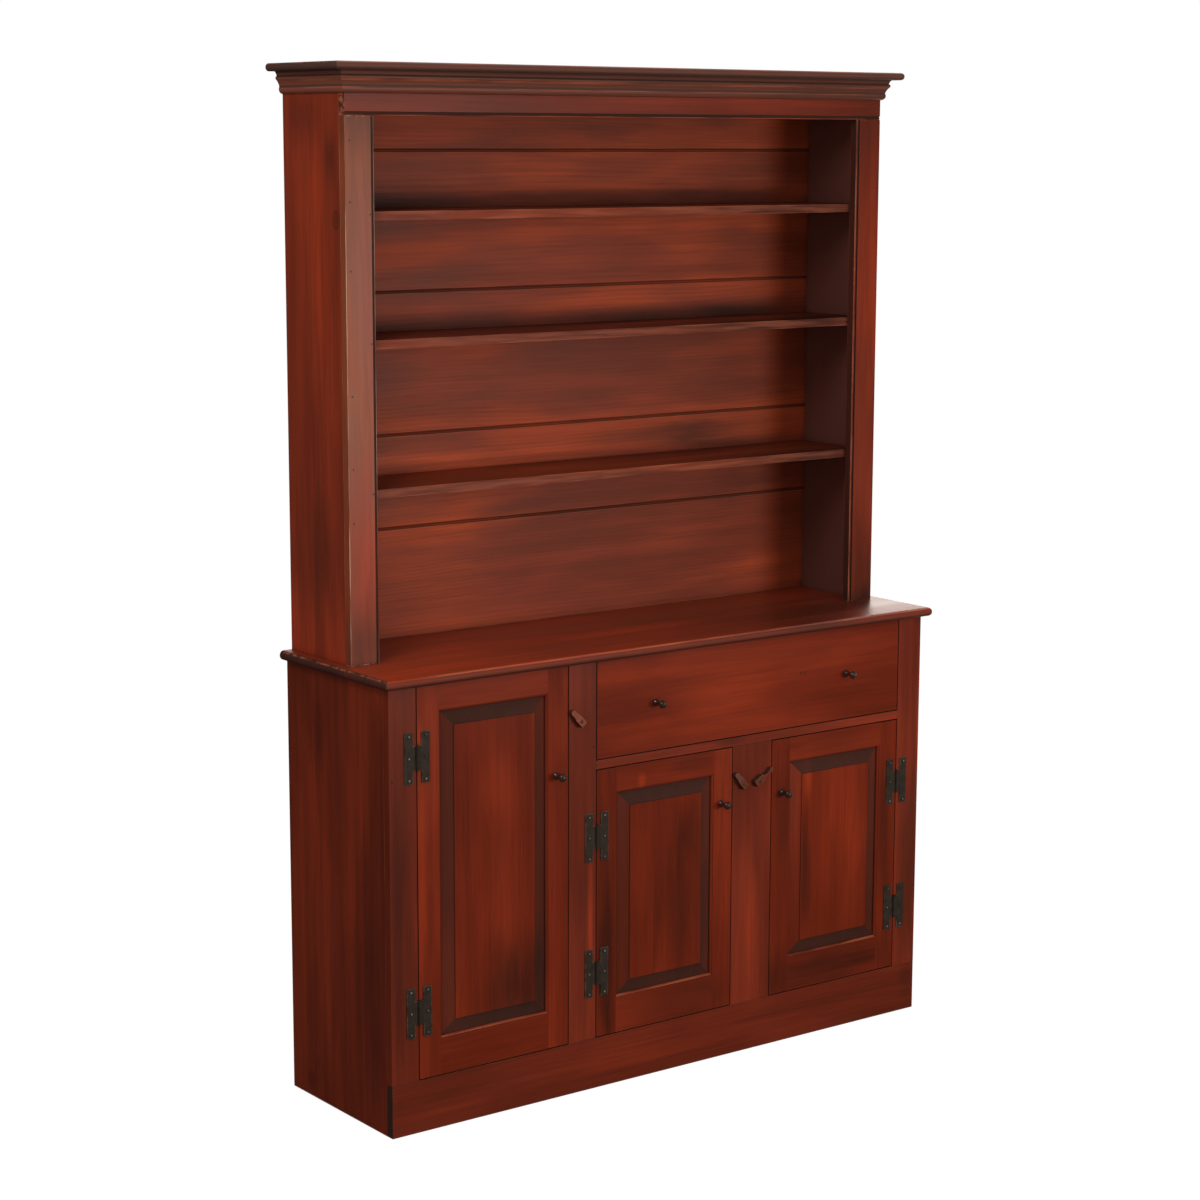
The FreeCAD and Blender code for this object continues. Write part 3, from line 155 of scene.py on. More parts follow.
class Bench:
    """Puts nodes in one shader tree and joins them."""

    def __init__(self, tree):
        self.tree = tree
        self.placed = 0

    def node(self, kind, inputs=None, **settings):
        made = self.tree.nodes.new(kind)
        made.location = (220 * (self.placed // 5), -260 * (self.placed % 5))
        self.placed += 1
        for name, setting in settings.items():
            setattr(made, name, setting)
        for name, given in (inputs or {}).items():
            self.feed(made.inputs[name], given)
        return made

    def feed(self, socket, given):
        if isinstance(given, bpy.types.NodeSocket):
            self.tree.links.new(given, socket)
        else:
            socket.default_value = given

    def close(self, shader, owner="Material"):
        """Joins the last shader to the tree's output."""
        output = self.node(f"ShaderNodeOutput{owner}")
        self.tree.links.new(shader.outputs[0], output.inputs["Surface"])

    def math(self, operation, first, second=0.0, third=None, clamp=False):
        given = {0: first, 1: second}
        if third is not None:
            given[2] = third
        return self.node("ShaderNodeMath", given, operation=operation, use_clamp=clamp).outputs[0]

    def plus(self, first, second, clamp=False):
        return self.math("ADD", first, second, clamp=clamp)

    def times(self, first, second):
        return self.math("MULTIPLY", first, second)

    def scaled(self, given, much, start, clamp=False):
        """A value times another, plus a start."""
        return self.math("MULTIPLY_ADD", given, much, start, clamp)

    def centred(self, given, width):
        """Spreads 0 to 1 over a width with 0 in its middle."""
        return self.scaled(given, width, -width / 2)

    def vector(self, operation, first, second=(0.0, 0.0, 0.0)):
        """A vector, or the plain value that a length or a distance is."""
        made = self.node("ShaderNodeVectorMath", {0: first, 1: second}, operation=operation)
        return made.outputs["Value" if operation in ("LENGTH", "DISTANCE") else "Vector"]

    def mix(self, share, first, second, blend="MIX"):
        given = {0: share, 6: first, 7: second}
        return self.node("ShaderNodeMix", given, data_type="RGBA", blend_type=blend).outputs[2]

    def dimmed(self, colour, value):
        """A colour times a plain value."""
        grey = self.node("ShaderNodeCombineColor", {0: value, 1: value, 2: value}).outputs[0]
        return self.mix(1.0, colour, grey, "MULTIPLY")

    def rescale(self, given, low, high, to_low=0.0, to_high=1.0):
        sockets = {"Value": given, "From Min": low, "From Max": high,
                   "To Min": to_low, "To Max": to_high}
        made = self.node("ShaderNodeMapRange", sockets, interpolation_type="SMOOTHSTEP", clamp=True)
        return made.outputs["Result"]

    def noise(self, place, stretch, detail=2.0, rough=0.5):
        given = {"Vector": self.vector("MULTIPLY", place, stretch), "Scale": 1.0,
                 "Detail": detail, "Roughness": rough}
        return self.node("ShaderNodeTexNoise", given).outputs["Fac"]

    def attribute(self, name, output="Fac"):
        return self.node("ShaderNodeAttribute", attribute_name=name).outputs[output]


VALUE, COLOUR, VECTOR = "NodeSocketFloat", "NodeSocketColor", "NodeSocketVector"


def new_group(name, inputs, outputs):
    """A shader node group with named sockets: (name, kind, default) for each input."""
    tree = bpy.data.node_groups.new(name, "ShaderNodeTree")
    for title, kind, default in inputs:
        socket = tree.interface.new_socket(title, in_out="INPUT", socket_type=kind)
        if default is not None:
            socket.default_value = default
    for title, kind in outputs:
        tree.interface.new_socket(title, in_out="OUTPUT", socket_type=kind)
    TREES[name] = tree
    bench = Bench(tree)
    source = bench.node("NodeGroupInput")
    target = bench.node("NodeGroupOutput")
    return bench, source.outputs, target.inputs


def use(bench, name, inputs):
    """Places a node group in a tree."""
    return bench.node("ShaderNodeGroup", inputs, node_tree=TREES[name]).outputs


def grain_group():
    """Year rings and fibres of one board, from its own coordinates: along, across, through."""
    bench, given, out = new_group(
        "Board Grain",
        [("Grain", VECTOR, None), ("Ring Width", VALUE, RING_WIDE), ("Swell", VALUE, 0.0)],
        [("Rings", VALUE), ("Fibre", VALUE), ("Streaks", VALUE), ("Patches", VALUE)])
    grain = given["Grain"]
    along, across, through = bench.node("ShaderNodeSeparateXYZ", {0: grain}).outputs
    sway = bench.centred(bench.noise(grain, (1.1, 3.0, 3.0), detail=1.0), 55 * MM)
    ripple = bench.centred(bench.noise(grain, (2.3, 7.0, 7.0)), 14 * MM)
    aside = bench.math("ABSOLUTE", bench.plus(across, sway))
    squares = bench.plus(bench.math("POWER", aside, 2.0), bench.math("POWER", through, 2.0))
    radius = bench.plus(bench.math("SQRT", squares), bench.times(along, TRUNK_TAPER))
    radius = bench.plus(bench.plus(radius, ripple), given["Swell"])
    year = bench.math("FRACT", bench.math("DIVIDE", radius, given["Ring Width"]))
    late = bench.rescale(year, 0.35, 0.86)
    winter = bench.rescale(year, 0.90, 1.0, 1.0, 0.0)
    depth = bench.rescale(bench.noise(grain, (1.4, 22.0, 22.0), detail=1.0), 0.32, 0.68, 0.25, 1.0)
    bench.feed(out["Rings"], bench.times(bench.times(late, winter), depth))
    for title, stretch, detail, rough, low in (
            ("Fibre", (9.0, 620.0, 620.0), 3.0, 0.6, 0.28),
            ("Streaks", (1.3, 52.0, 52.0), 3.0, 0.55, 0.3),
            ("Patches", (2.0, 8.5, 8.5), 2.5, 0.45, 0.3)):
        seen = bench.noise(grain, stretch, detail, rough)
        bench.feed(out[title], bench.rescale(seen, low, 1.0 - low))


def knot_group():
    """A knot at one place: its dark heart, its rim and how it pushes the rings aside."""
    bench, given, out = new_group(
        "Knot",
        [("Place", VECTOR, None), ("Centre", VECTOR, None), ("Size", VALUE, 10 * MM)],
        [("Heart", VALUE), ("Rim", VALUE), ("Swell", VALUE)])
    away = bench.vector("SUBTRACT", given["Place"], given["Centre"])
    far = bench.vector("LENGTH", bench.vector("MULTIPLY", away, (1.0, 1.0, 0.72)))
    ragged = bench.noise(given["Place"], (160.0, 160.0, 110.0))
    far = bench.plus(far, bench.centred(ragged, 6 * MM))
    turns = bench.math("DIVIDE", far, given["Size"])
    ring = bench.math("ABSOLUTE", bench.math("SUBTRACT", turns, 1.0))
    bench.feed(out["Heart"], bench.rescale(turns, 0.35, 1.0, 1.0, 0.0))
    bench.feed(out["Rim"], bench.rescale(ring, 0.0, 0.45, 1.0, 0.0))
    bench.feed(out["Swell"], bench.rescale(turns, 0.3, 5.0, 16 * MM, 0.0))


def zone_group():
    """A soft patch at one place, ragged along its rim: stain rubbed thin or left thick, and painted light
    and shade.
    """
    bench, given, out = new_group(
        "Stain Zone",
        [(title, VECTOR, None) for title in ("Place", "Grain", "Centre", "Reach")],
        [("Zone", VALUE)])
    away = bench.vector("SUBTRACT", given["Place"], given["Centre"])
    far = bench.vector("LENGTH", bench.vector("DIVIDE", away, given["Reach"]))
    ragged = bench.noise(given["Grain"], (5.0, 34.0, 34.0), detail=4.0)
    far = bench.plus(far, bench.centred(ragged, 1.5))
    bench.feed(out["Zone"], bench.rescale(far, 0.1, 1.5, 1.0, 0.0))


def finish_group():
    """Stain, glaze and painted shade in the recesses, rubbed edges with painted highlights, and lacquer
    over one board's grain.
    """
    bench, given, out = new_group(
        "Stained Board",
        [("Grain", VECTOR, None), ("Tone", VALUE, 1.0), ("Edge", VALUE, 0.0), ("End", VALUE, 0.0),
         ("Ring Width", VALUE, RING_WIDE), ("Rings", VALUE, 0.3), ("Streaks", VALUE, 0.4),
         ("Patches", VALUE, 0.5), ("Recess Shade", VALUE, 0.6), ("Rubbed", VALUE, 0.4), ("Dull", VALUE, 0.36)]
        + [(title, COLOUR, None) for title in ("Stain", "Glow", "Glaze And Shade", "Worn And Highlight", "End Grain And Shade")]
        + [(title, VALUE, 0.0) for title in ("Swell", "Warm Patch And Light", "Dark Patch And Shade")],
        [("Color", COLOUR), ("Roughness", VALUE), ("Height", VALUE)])
    grain = use(bench, "Board Grain", {
        title: given[title] for title in ("Grain", "Ring Width", "Swell")})
    glaze_and_shade_colour = given["Glaze And Shade"]
    # Warm patches: thin stain, and painted light where the patch lists put it.
    warm_and_lit = bench.times(bench.rescale(grain["Patches"], 0.45, 0.95), given["Patches"])
    warm_and_lit = bench.plus(warm_and_lit, given["Warm Patch And Light"], clamp=True)
    colour = bench.mix(warm_and_lit, given["Stain"], given["Glow"])
    # Dark patches: thick stain, knots, filled nails, and painted shade where the patch lists put it.
    cloud = bench.times(bench.rescale(grain["Patches"], 0.5, 0.0), given["Patches"])
    cloud = bench.scaled(cloud, 0.55, given["Dark Patch And Shade"], clamp=True)
    colour = bench.mix(cloud, colour, glaze_and_shade_colour)
    streak = bench.times(bench.math("SUBTRACT", 1.0, grain["Streaks"]), given["Streaks"])
    colour = bench.mix(bench.times(streak, 0.5), colour, glaze_and_shade_colour)
    colour = bench.mix(bench.times(grain["Rings"], given["Rings"]), colour, glaze_and_shade_colour)
    colour = bench.dimmed(colour, bench.scaled(grain["Fibre"], 0.22, 0.89))
    colour = bench.dimmed(colour, given["Tone"])
    # The end mark is end grain, and also painted shade on gap edges, undersides, hollows and bevels.
    colour = bench.mix(bench.times(given["End"], 0.85), colour, given["End Grain And Shade"])
    # Painted shade: occlusion darkens the recesses towards the glaze colour, and stands for shade as well
    # as glaze.
    occlusion_shade = bench.node("ShaderNodeAmbientOcclusion", {"Distance": 22 * MM}, samples=6)
    recess_shade = bench.rescale(occlusion_shade.outputs["AO"], 0.12, 0.80, 1.0, 0.0)
    recess_shade = bench.times(recess_shade, given["Recess Shade"])
    colour = bench.mix(recess_shade, colour, glaze_and_shade_colour)
    patchy = bench.noise(given["Grain"], (7.0, 110.0, 110.0), detail=4.0)
    rub = bench.times(bench.rescale(patchy, 0.38, 0.66), given["Edge"])
    # The edge mark is wear, and also painted highlights on beads, sills, noses and crown turns.
    colour = bench.mix(bench.times(rub, given["Rubbed"]), colour, given["Worn And Highlight"])
    bench.feed(out["Color"], colour)
    dull = bench.scaled(grain["Patches"], 0.10, given["Dull"])
    dull = bench.scaled(recess_shade, 0.25, dull)
    bench.feed(out["Roughness"], bench.scaled(given["End"], 0.3, dull, clamp=True))
    height = bench.scaled(grain["Rings"], 0.3, bench.times(grain["Fibre"], 0.35))
    bench.feed(out["Height"], bench.scaled(grain["Streaks"], 0.35, height))


def iron_group():
    """Hammered, blackened iron: its dents, its colour and its rubbed high places."""
    bench, given, out = new_group(
        "Forged Iron",
        [("Place", VECTOR, None), ("Edge", VALUE, 0.0), ("Iron", COLOUR, None),
         ("Bright", COLOUR, None), ("Rubbed", VALUE, 0.4)],
        [("Color", COLOUR), ("Roughness", VALUE), ("Height", VALUE)])
    place = given["Place"]
    dents = bench.node("ShaderNodeTexVoronoi", {"Vector": place, "Scale": 210.0}, feature="SMOOTH_F1")
    grit = bench.noise(place, (900.0,) * 3, detail=3.0)
    soot = bench.noise(place, (70.0,) * 3, detail=3.0)
    colour = bench.dimmed(given["Iron"], bench.scaled(soot, 0.8, 0.6))
    rub = bench.times(bench.times(given["Edge"], given["Rubbed"]), bench.rescale(soot, 0.3, 0.6))
    bench.feed(out["Color"], bench.mix(rub, colour, given["Bright"]))
    bench.feed(out["Roughness"], bench.scaled(grit, 0.25, 0.42))
    bench.feed(out["Height"], bench.scaled(grit, 0.12, dents.outputs["Distance"]))


# ---------------------------------------------------------------- how a finish is put on


def empty_tree(owner):
    """Clears the nodes of a material or a world."""
    owner.use_nodes = True
    owner.node_tree.nodes.clear()
    return Bench(owner.node_tree)


def new_finish(name):
    """A material with a plain shader; its bench, the shader's sockets and the object's places."""
    material = bpy.data.materials.new(f"{name}_finish")
    FINISHES[name] = material
    bench = empty_tree(material)
    shell = bench.node("ShaderNodeBsdfPrincipled")
    bench.close(shell)
    return bench, shell.inputs, bench.node("ShaderNodeTexCoord").outputs["Object"]


def put_on(bench, shell, made, depth=0.0, strength=0.0):
    """Joins a group's colour, roughness and height to the shader."""
    bench.feed(shell["Base Color"], made["Color"])
    bench.feed(shell["Roughness"], made["Roughness"])
    if depth:
        bump = {"Height": made["Height"], "Distance": depth, "Strength": strength}
        bench.feed(shell["Normal"], bench.node("ShaderNodeBump", bump).outputs[0])


def patches(bench, place, grain, zones):
    """The soft patches of a wood: (centre, reach, strength) each."""
    made = []
    for centre, reach, strength in zones:
        given = {"Place": place, "Grain": grain, "Centre": centre, "Reach": reach}
        made.append(bench.times(use(bench, "Stain Zone", given)["Zone"], strength))
    return made


def filled_nails(bench, place, centres):
    """Small round marks where nail heads were filled."""
    nearest = None
    for centre in centres:
        far = bench.vector("DISTANCE", place, centre)
        nearest = far if nearest is None else bench.math("MINIMUM", nearest, far)
    return bench.rescale(nearest, FILLED_NAIL * 0.7, FILLED_NAIL * 1.25, 0.9, 0.0)


def add_up(bench, values):
    """The sum of several sockets."""
    whole = values[0]
    for value in values[1:]:
        whole = bench.plus(whole, value)
    return whole


def stained_wood(name, finish, colours, strengths, shine=0.42, coat=0.0,
                 knots=(), warm_and_lit=(), dark_and_shade=(), nails=()):
    """A stained and lacquered wood; colours and strengths go to the finish group. Its warm and dark patches
    are partly stain and partly painted light and shade.
    """
    bench, shell, place = new_finish(name)
    grain = bench.attribute("grain", "Vector")
    inputs = {
        "Grain": grain, "Glow": finish.glow, "Glaze And Shade": finish.glaze, "Worn And Highlight": finish.worn,
        "End Grain And Shade": finish.end_grain_and_shade, "Ring Width": finish.ring_wide, **colours, **strengths}
    for title in ("Tone", "Edge", "End"):
        inputs[title] = bench.attribute(title.lower())
    darker_and_shaded, swells = patches(bench, place, grain, dark_and_shade), []
    for centre, size in knots:
        knot = use(bench, "Knot", {"Place": place, "Centre": centre, "Size": size})
        darker_and_shaded.append(bench.scaled(knot["Rim"], 0.35, bench.times(knot["Heart"], 0.3)))
        swells.append(knot["Swell"])
    if nails:
        darker_and_shaded.append(filled_nails(bench, place, nails))
    warmer_and_lit = patches(bench, place, grain, warm_and_lit)
    for title, parts in (("Warm Patch And Light", warmer_and_lit), ("Dark Patch And Shade", darker_and_shaded), ("Swell", swells)):
        if parts:
            inputs[title] = add_up(bench, parts)
    put_on(bench, shell, use(bench, "Stained Board", inputs), 0.12 * MM, 0.5)
    shell["Specular IOR Level"].default_value = shine
    shell["Coat Weight"].default_value = coat
    shell["Coat Roughness"].default_value = 0.05


def on_front(face, *zones):
    """Patches on a face that looks forward: x, z, reach along each, strength."""
    return [((x, face, z), (wide, PATCH_DEEP, high), much) for x, z, wide, high, much in zones]


def on_side(side, *zones):
    """Patches on a side: y, z, reach along each, strength."""
    return [((side, y, z), (PATCH_DEEP, deep, high), much) for y, z, deep, high, much in zones]


def on_top(level, thick, *zones):
    """Patches on a board that lies flat: x, y, reach along each, strength."""
    return [((x, y, level), (wide, deep, thick), much) for x, y, wide, deep, much in zones]


# ---------------------------------------------------------------- materials


def case_wood(finish):
    """The case: two knots in the left side, warm and dark stain patches, and painted light and shade: the
    counter lighter at its left and darker at its right, the upper left side and the right stile darker
    under the crown, and the upper left side darker towards its foot.
    """
    stained_wood(
        "case_wood", finish, {"Stain": finish.case_stain}, {**SATIN, "Recess Shade": 0.6}, shine=0.36,
        knots=(((UPPER_SIDE, 0.011, 1.826), 11 * MM), ((BASE_SIDE, 0.136, 0.034), 12 * MM)),
        warm_and_lit=on_side(UPPER_SIDE, (0.08, 1.72, 0.05, 0.22, 0.55))
        + on_side(BASE_SIDE, (0.09, 0.66, 0.05, 0.20, 0.3))
        + on_front(UPPER_FACE, (0.67, 1.66, 0.06, 0.24, 0.8))
        + on_front(
            BASE_FACE, (-0.2185, 0.41, 0.0075, 0.16, 1.0), (0.224, 0.28, 0.022, 0.12, 0.5),
            (0.27, 0.52, 0.008, 0.16, 0.5), (0.709, 0.70, 0.005, 0.18, 0.8),
            (-0.14, 0.05, 0.22, 0.03, 0.35))
        # Painted light: the counter lighter at its left.
        + on_top(COUNTER, 0.03, (-0.55, -0.09, 0.25, 0.10, 0.5)),
        # Painted shade: the upper left side darker under the crown and towards its foot.
        dark_and_shade=on_side(
            UPPER_SIDE, (0.14, 2.03, 0.06, 0.06, 0.45), (0.03, 1.95, 0.022, 0.05, 0.4),
            (0.09, 1.13, 0.10, 0.14, 0.45))
        + on_side(BASE_SIDE, (0.09, 0.78, 0.02, 0.10, 0.3), (-0.116, 0.20, 0.03, 0.22, 0.35))
        # Painted shade at the top of the right stile, under the crown.
        + on_front(UPPER_FACE, (0.67, 2.02, 0.06, 0.07, 0.25), (0.67, 0.97, 0.06, 0.16, 0.3))
        + on_front(
            BASE_FACE, (-0.693, 0.45, 0.02, 0.30, 0.35), (0.69, 0.40, 0.03, 0.35, 0.55),
            (-0.240, 0.30, 0.018, 0.20, 0.4), (0.155, 0.707, 0.04, 0.012, 0.4))
        # Painted shade and reflection: the counter darker at its right, under the upper case.
        + on_top(COUNTER, 0.03, (0.45, -0.08, 0.40, 0.16, 0.5)),
        nails=((-0.704, BASE_FACE, 0.735), (-0.2105, BASE_FACE, 0.741)))


def right_side_wood(finish):
    """The upper right side, whose inner face takes a greyer end colour as painted shade with a painted grey
    reflection.
    """
    stained_wood(
        "right_side_wood", finish, {"Stain": finish.case_stain, "End Grain And Shade": stain(92, 53, 44)},
        {**SATIN, "Recess Shade": 0.5}, shine=0.36)


def painted_sheen_crown_wood(finish):
    """The crown and the cap, in a browner, greyer stain than the case that stands for a painted sheen."""
    stained_wood(
        "painted_sheen_crown_wood", finish,
        {"Stain": stain(112, 58, 42), "Glow": stain(128, 64, 42), "Glaze And Shade": stain(62, 42, 35),
         "End Grain And Shade": stain(68, 44, 36)},
        {"Rings": 0.16, "Streaks": 0.5, "Patches": 0.35, "Recess Shade": 0.5, "Rubbed": 0.55, "Dull": 0.34},
        shine=0.45)


def stile_wood(finish):
    """The upper left stile, painted paler than the rest as painted light, with pale edges that are painted
    highlights, painted shade under the crown, and its filled nail heads.
    """
    stained_wood(
        # The pale worn colour paints highlights on the stile's edges and bead.
        "stile_wood", finish, {"Stain": stain(136, 66, 38), "Worn And Highlight": stain(205, 168, 146)},
        {"Rings": 0.12, "Streaks": 0.4, "Patches": 0.35, "Recess Shade": 0.6, "Rubbed": 0.8, "Dull": 0.36},
        warm_and_lit=on_front(UPPER_FACE, (-0.66, 1.12, 0.05, 0.22, 0.9), (-0.645, 1.62, 0.022, 0.26, 0.45)),
        # Painted shade at the top of the stile, under the crown.
        dark_and_shade=on_front(UPPER_FACE, (-0.66, 0.98, 0.05, 0.10, 0.5), (-0.67, 2.03, 0.05, 0.08, 0.4)),
        nails=[(-0.688, UPPER_FACE, z) for z in (1.9795, 1.8606, 1.7267, 1.4818, 1.3374, 1.2293)]
        + [(-0.642, UPPER_FACE, z) for z in (1.8366, 1.5838, 1.2852)])


def door_wood(finish):
    """The door frames and the drawer front."""
    stained_wood(
        "door_wood", finish, {"Stain": finish.door_stain},
        {"Rings": 0.16, "Streaks": 0.5, "Patches": 0.4, "Recess Shade": 0.8, "Rubbed": 0.45, "Dull": 0.27},
        shine=0.22,
        warm_and_lit=on_front(
            BASE_FACE, (-0.64, 0.80, 0.008, 0.05, 0.9), (-0.635, 0.52, 0.012, 0.2, 0.5),
            (-0.084, 0.650, 0.009, 0.018, 0.7), (0.14, 0.82, 0.12, 0.05, 0.3),
            (-0.10, 0.76, 0.12, 0.03, 0.35), (-0.17, 0.88, 0.10, 0.03, 0.4),
            (-0.297, 0.80, 0.016, 0.06, 0.3)),
        dark_and_shade=on_front(
            BASE_FACE, (-0.18, 0.30, 0.022, 0.22, 0.55), (0.06, 0.67, 0.06, 0.02, 0.35),
            (0.43, 0.145, 0.22, 0.07, 0.5), (0.61, 0.42, 0.02, 0.2, 0.35),
            (0.31, 0.50, 0.02, 0.14, 0.35), (0.44, 0.66, 0.12, 0.02, 0.35),
            (0.02, 0.15, 0.18, 0.06, 0.42)),
        nails=((0.3547, BASE_FACE, 0.8312), (0.3655, BASE_FACE, 0.8300)))


def panel_wood(finish):
    """The raised panels, whose bevels are darkest, with end grain, painted shadow and painted shade in
    their recesses.
    """
    bevel = BASE_FACE + 10 * MM
    stained_wood(
        "panel_wood", finish, {"Stain": finish.door_stain},
        {"Rings": 0.2, "Streaks": 0.45, "Patches": 0.4, "Recess Shade": 1.0, "Rubbed": 0.1, "Dull": 0.27},
        shine=0.2,
        warm_and_lit=on_front(BASE_FACE, (-0.447, 0.684, 0.06, 0.08, 0.35), (0.464, 0.50, 0.05, 0.16, 0.25))
        + on_front(bevel, (0.38, 0.60, 0.012, 0.05, 0.8)),
        dark_and_shade=on_front(
            BASE_FACE, (-0.40, 0.26, 0.10, 0.12, 0.75), (0.03, 0.36, 0.10, 0.14, 0.3),
            (0.04, 0.52, 0.03, 0.07, 0.4))
        + on_front(bevel, (0.375, 0.40, 0.014, 0.12, 0.6)))


def hutch_wood(finish):
    """The upper shelves and back boards, with painted shadow on the back boards above each shelf, under the
    header, above the counter and towards the right end, and painted light at their left.
    """
    # Painted shadow of the right side and stile over the right end of the back boards.
    right_end_shade = ((0.50, -0.01, 1.60), (0.42, 0.08, 0.60), 0.75)
    stained_wood(
        "hutch_wood", finish,
        {"Stain": stain(115, 45, 25), "Glow": stain(156, 61, 25), "Ring Width": finish.ring_wide * 1.6},
        {"Rings": 0.2, "Streaks": 0.52, "Patches": 0.5, "Recess Shade": 0.7, "Rubbed": 0.75, "Dull": 0.44},
        shine=0.3,
        # Painted light: warm patches at the left of the back boards and on the lowest shelf.
        warm_and_lit=on_front(
            BACK_BOARDS, (-0.45, 1.30, 0.22, 0.05, 0.8), (-0.42, 1.19, 0.25, 0.04, 0.9),
            (-0.43, 1.06, 0.20, 0.07, 0.5), (-0.34, 1.50, 0.15, 0.04, 0.3),
            (-0.10, 1.75, 0.20, 0.05, 0.25))
        + on_top(1.29, 0.012, (-0.30, 0.10, 0.60, 0.13, 1.0)),
        # Painted shadow: bands above the shelves, under the header, above the counter and at the right end.
        dark_and_shade=on_front(
            BACK_BOARDS, (0.0, 1.850, 0.95, 0.020, 0.5), (0.0, 1.597, 0.95, 0.022, 0.45),
            (0.49, 1.65, 0.14, 0.60, 0.15), (0.43, 1.33, 0.20, 0.05, 0.42),
            (0.10, 2.01, 0.75, 0.055, 0.32), (0.22, 1.33, 0.20, 0.05, 0.36),
            (0.33, 0.97, 0.18, 0.03, 0.3), (0.50, 1.20, 0.10, 0.05, 0.1)) + [right_end_shade])


def inner_wood(finish):
    """The bare boards inside the base and the drawer."""
    stained_wood(
        "inner_wood", finish,
        {"Stain": finish.bare, "Glow": stain(196, 158, 112), "Glaze And Shade": stain(120, 84, 54),
         "Worn And Highlight": stain(205, 174, 132), "End Grain And Shade": stain(140, 104, 72)},
        {"Rings": 0.5, "Streaks": 0.35, "Patches": 0.4, "Recess Shade": 0.5, "Rubbed": 0.3, "Dull": 0.6})


def knob_wood(finish):
    """The turned knobs, dark and polished by hands."""
    stained_wood(
        "knob_wood", finish, {"Stain": stain(64, 24, 14), "Ring Width": finish.ring_wide * 0.5},
        {"Rings": 0.3, "Streaks": 0.4, "Patches": 0.3, "Recess Shade": 0.5, "Rubbed": 0.1, "Dull": 0.12},
        shine=0.6, coat=0.8)


def button_wood(finish):
    """The turn buttons, of a paler wood."""
    stained_wood(
        "button_wood", finish,
        {"Stain": finish.button, "Glow": stain(165, 92, 50), "Glaze And Shade": stain(84, 42, 24),
         "Ring Width": finish.ring_wide * 0.5},
        {"Rings": 0.35, "Streaks": 0.5, "Patches": 0.4, "Recess Shade": 0.4, "Rubbed": 0.4, "Dull": 0.4})


def black_iron(finish):
    """The hinges and their nails."""
    bench, shell, place = new_finish("black_iron")
    iron = use(bench, "Forged Iron", {
        "Place": place, "Edge": bench.attribute("edge"), "Iron": finish.iron,
        "Bright": stain(150, 138, 128), "Rubbed": 0.9})
    put_on(bench, shell, iron, 0.4 * MM, 0.6)
    shell["Metallic"].default_value = 0.35
    shell["Specular IOR Level"].default_value = 0.3


def screw_steel(finish):
    """The turn buttons' screws."""
    bench, shell, place = new_finish("screw_steel")
    steel = use(bench, "Forged Iron", {
        "Place": place, "Edge": bench.attribute("edge"), "Iron": stain(110, 98, 86),
        "Bright": stain(170, 160, 150), "Rubbed": 0.5})
    put_on(bench, shell, steel)
    shell["Metallic"].default_value = 0.8


def make_materials(finish):
    for build_group in (grain_group, knot_group, zone_group, finish_group, iron_group):
        build_group()
    for mix_finish in (case_wood, right_side_wood, painted_sheen_crown_wood, stile_wood, door_wood, panel_wood,
                       hutch_wood, inner_wood, knob_wood, button_wood, black_iron, screw_steel):
        mix_finish(finish)


# ---------------------------------------------------------------- boards


def islands(shape):
    """The separate boards of one mesh, as lists of corners."""
    left = set(shape.verts)
    found = []
    for start in shape.verts:
        if start not in left:
            continue
        left.discard(start)
        board, edge = [start], [start]
        while edge:
            corner = edge.pop()
            for line in corner.link_edges:
                other = line.other_vert(corner)
                if other in left:
                    left.discard(other)
                    board.append(other)
                    edge.append(other)
        found.append(board)
    return found


def limits(corners):
    """The lowest and the highest x, y and z of some corners."""
    return [[pick(v.co[i] for v in corners) for i in range(3)] for pick in (min, max)]


def spans(corners):
    """How far some corners reach along x, y and z."""
    low, high = limits(corners)
    return [high[i] - low[i] for i in range(3)]


def lay_grain(shape, name, along, tone):
    """Writes each board's own grain coordinates and tone to its corners."""
    grain = shape.verts.layers.float_vector.new("grain")
    shade = shape.verts.layers.float.new("tone")
    end = shape.loops.layers.float.new("end")
    a = AXES[along]
    shape.normal_update()
    for face in shape.faces:
        cut = min(max((abs(face.normal[a]) - 0.08) / 0.15, 0.0), 1.0)
        for corner in face.loops:
            corner[end] = cut
    for count, board in enumerate(islands(shape)):
        low, high = limits(board)
        span = spans(board)
        across, through = sorted((i for i in range(3) if i != a), key=lambda i: -span[i])
        luck = random.Random(f"{name} {count}")
        start = luck.uniform(0.0, 9.0)
        aside = luck.uniform(-0.35, 0.35) * span[across]
        deep = luck.uniform(0.022, 0.06)
        own = tone * luck.uniform(0.96, 1.04)
        middle = (low[across] + high[across]) / 2
        for v in board:
            v[grain] = (v.co[a] + start, v.co[across] - middle + aside, v.co[through] - low[through] + deep)
            v[shade] = own


def wide_enough(line, least):
    """Whether both faces beside an edge are wide enough to be eased along it."""
    if line.calc_length() < 4 * least or len(line.link_faces) != 2:
        return False
    start = line.verts[0].co
    along = (line.verts[1].co - start).normalized()
    for face in line.link_faces:
        reach = max(((v.co - start) - along * (v.co - start).dot(along)).length for v in face.verts)
        if reach < 2.2 * least:
            return False
    return True


def shade_smooth(shape, angle):
    """Smooth faces, with hard edges where they meet at more than an angle in degrees."""
    for line in shape.edges:
        line.smooth = line.calc_face_angle(math.pi) < math.radians(angle)
    for face in shape.faces:
        face.smooth = True


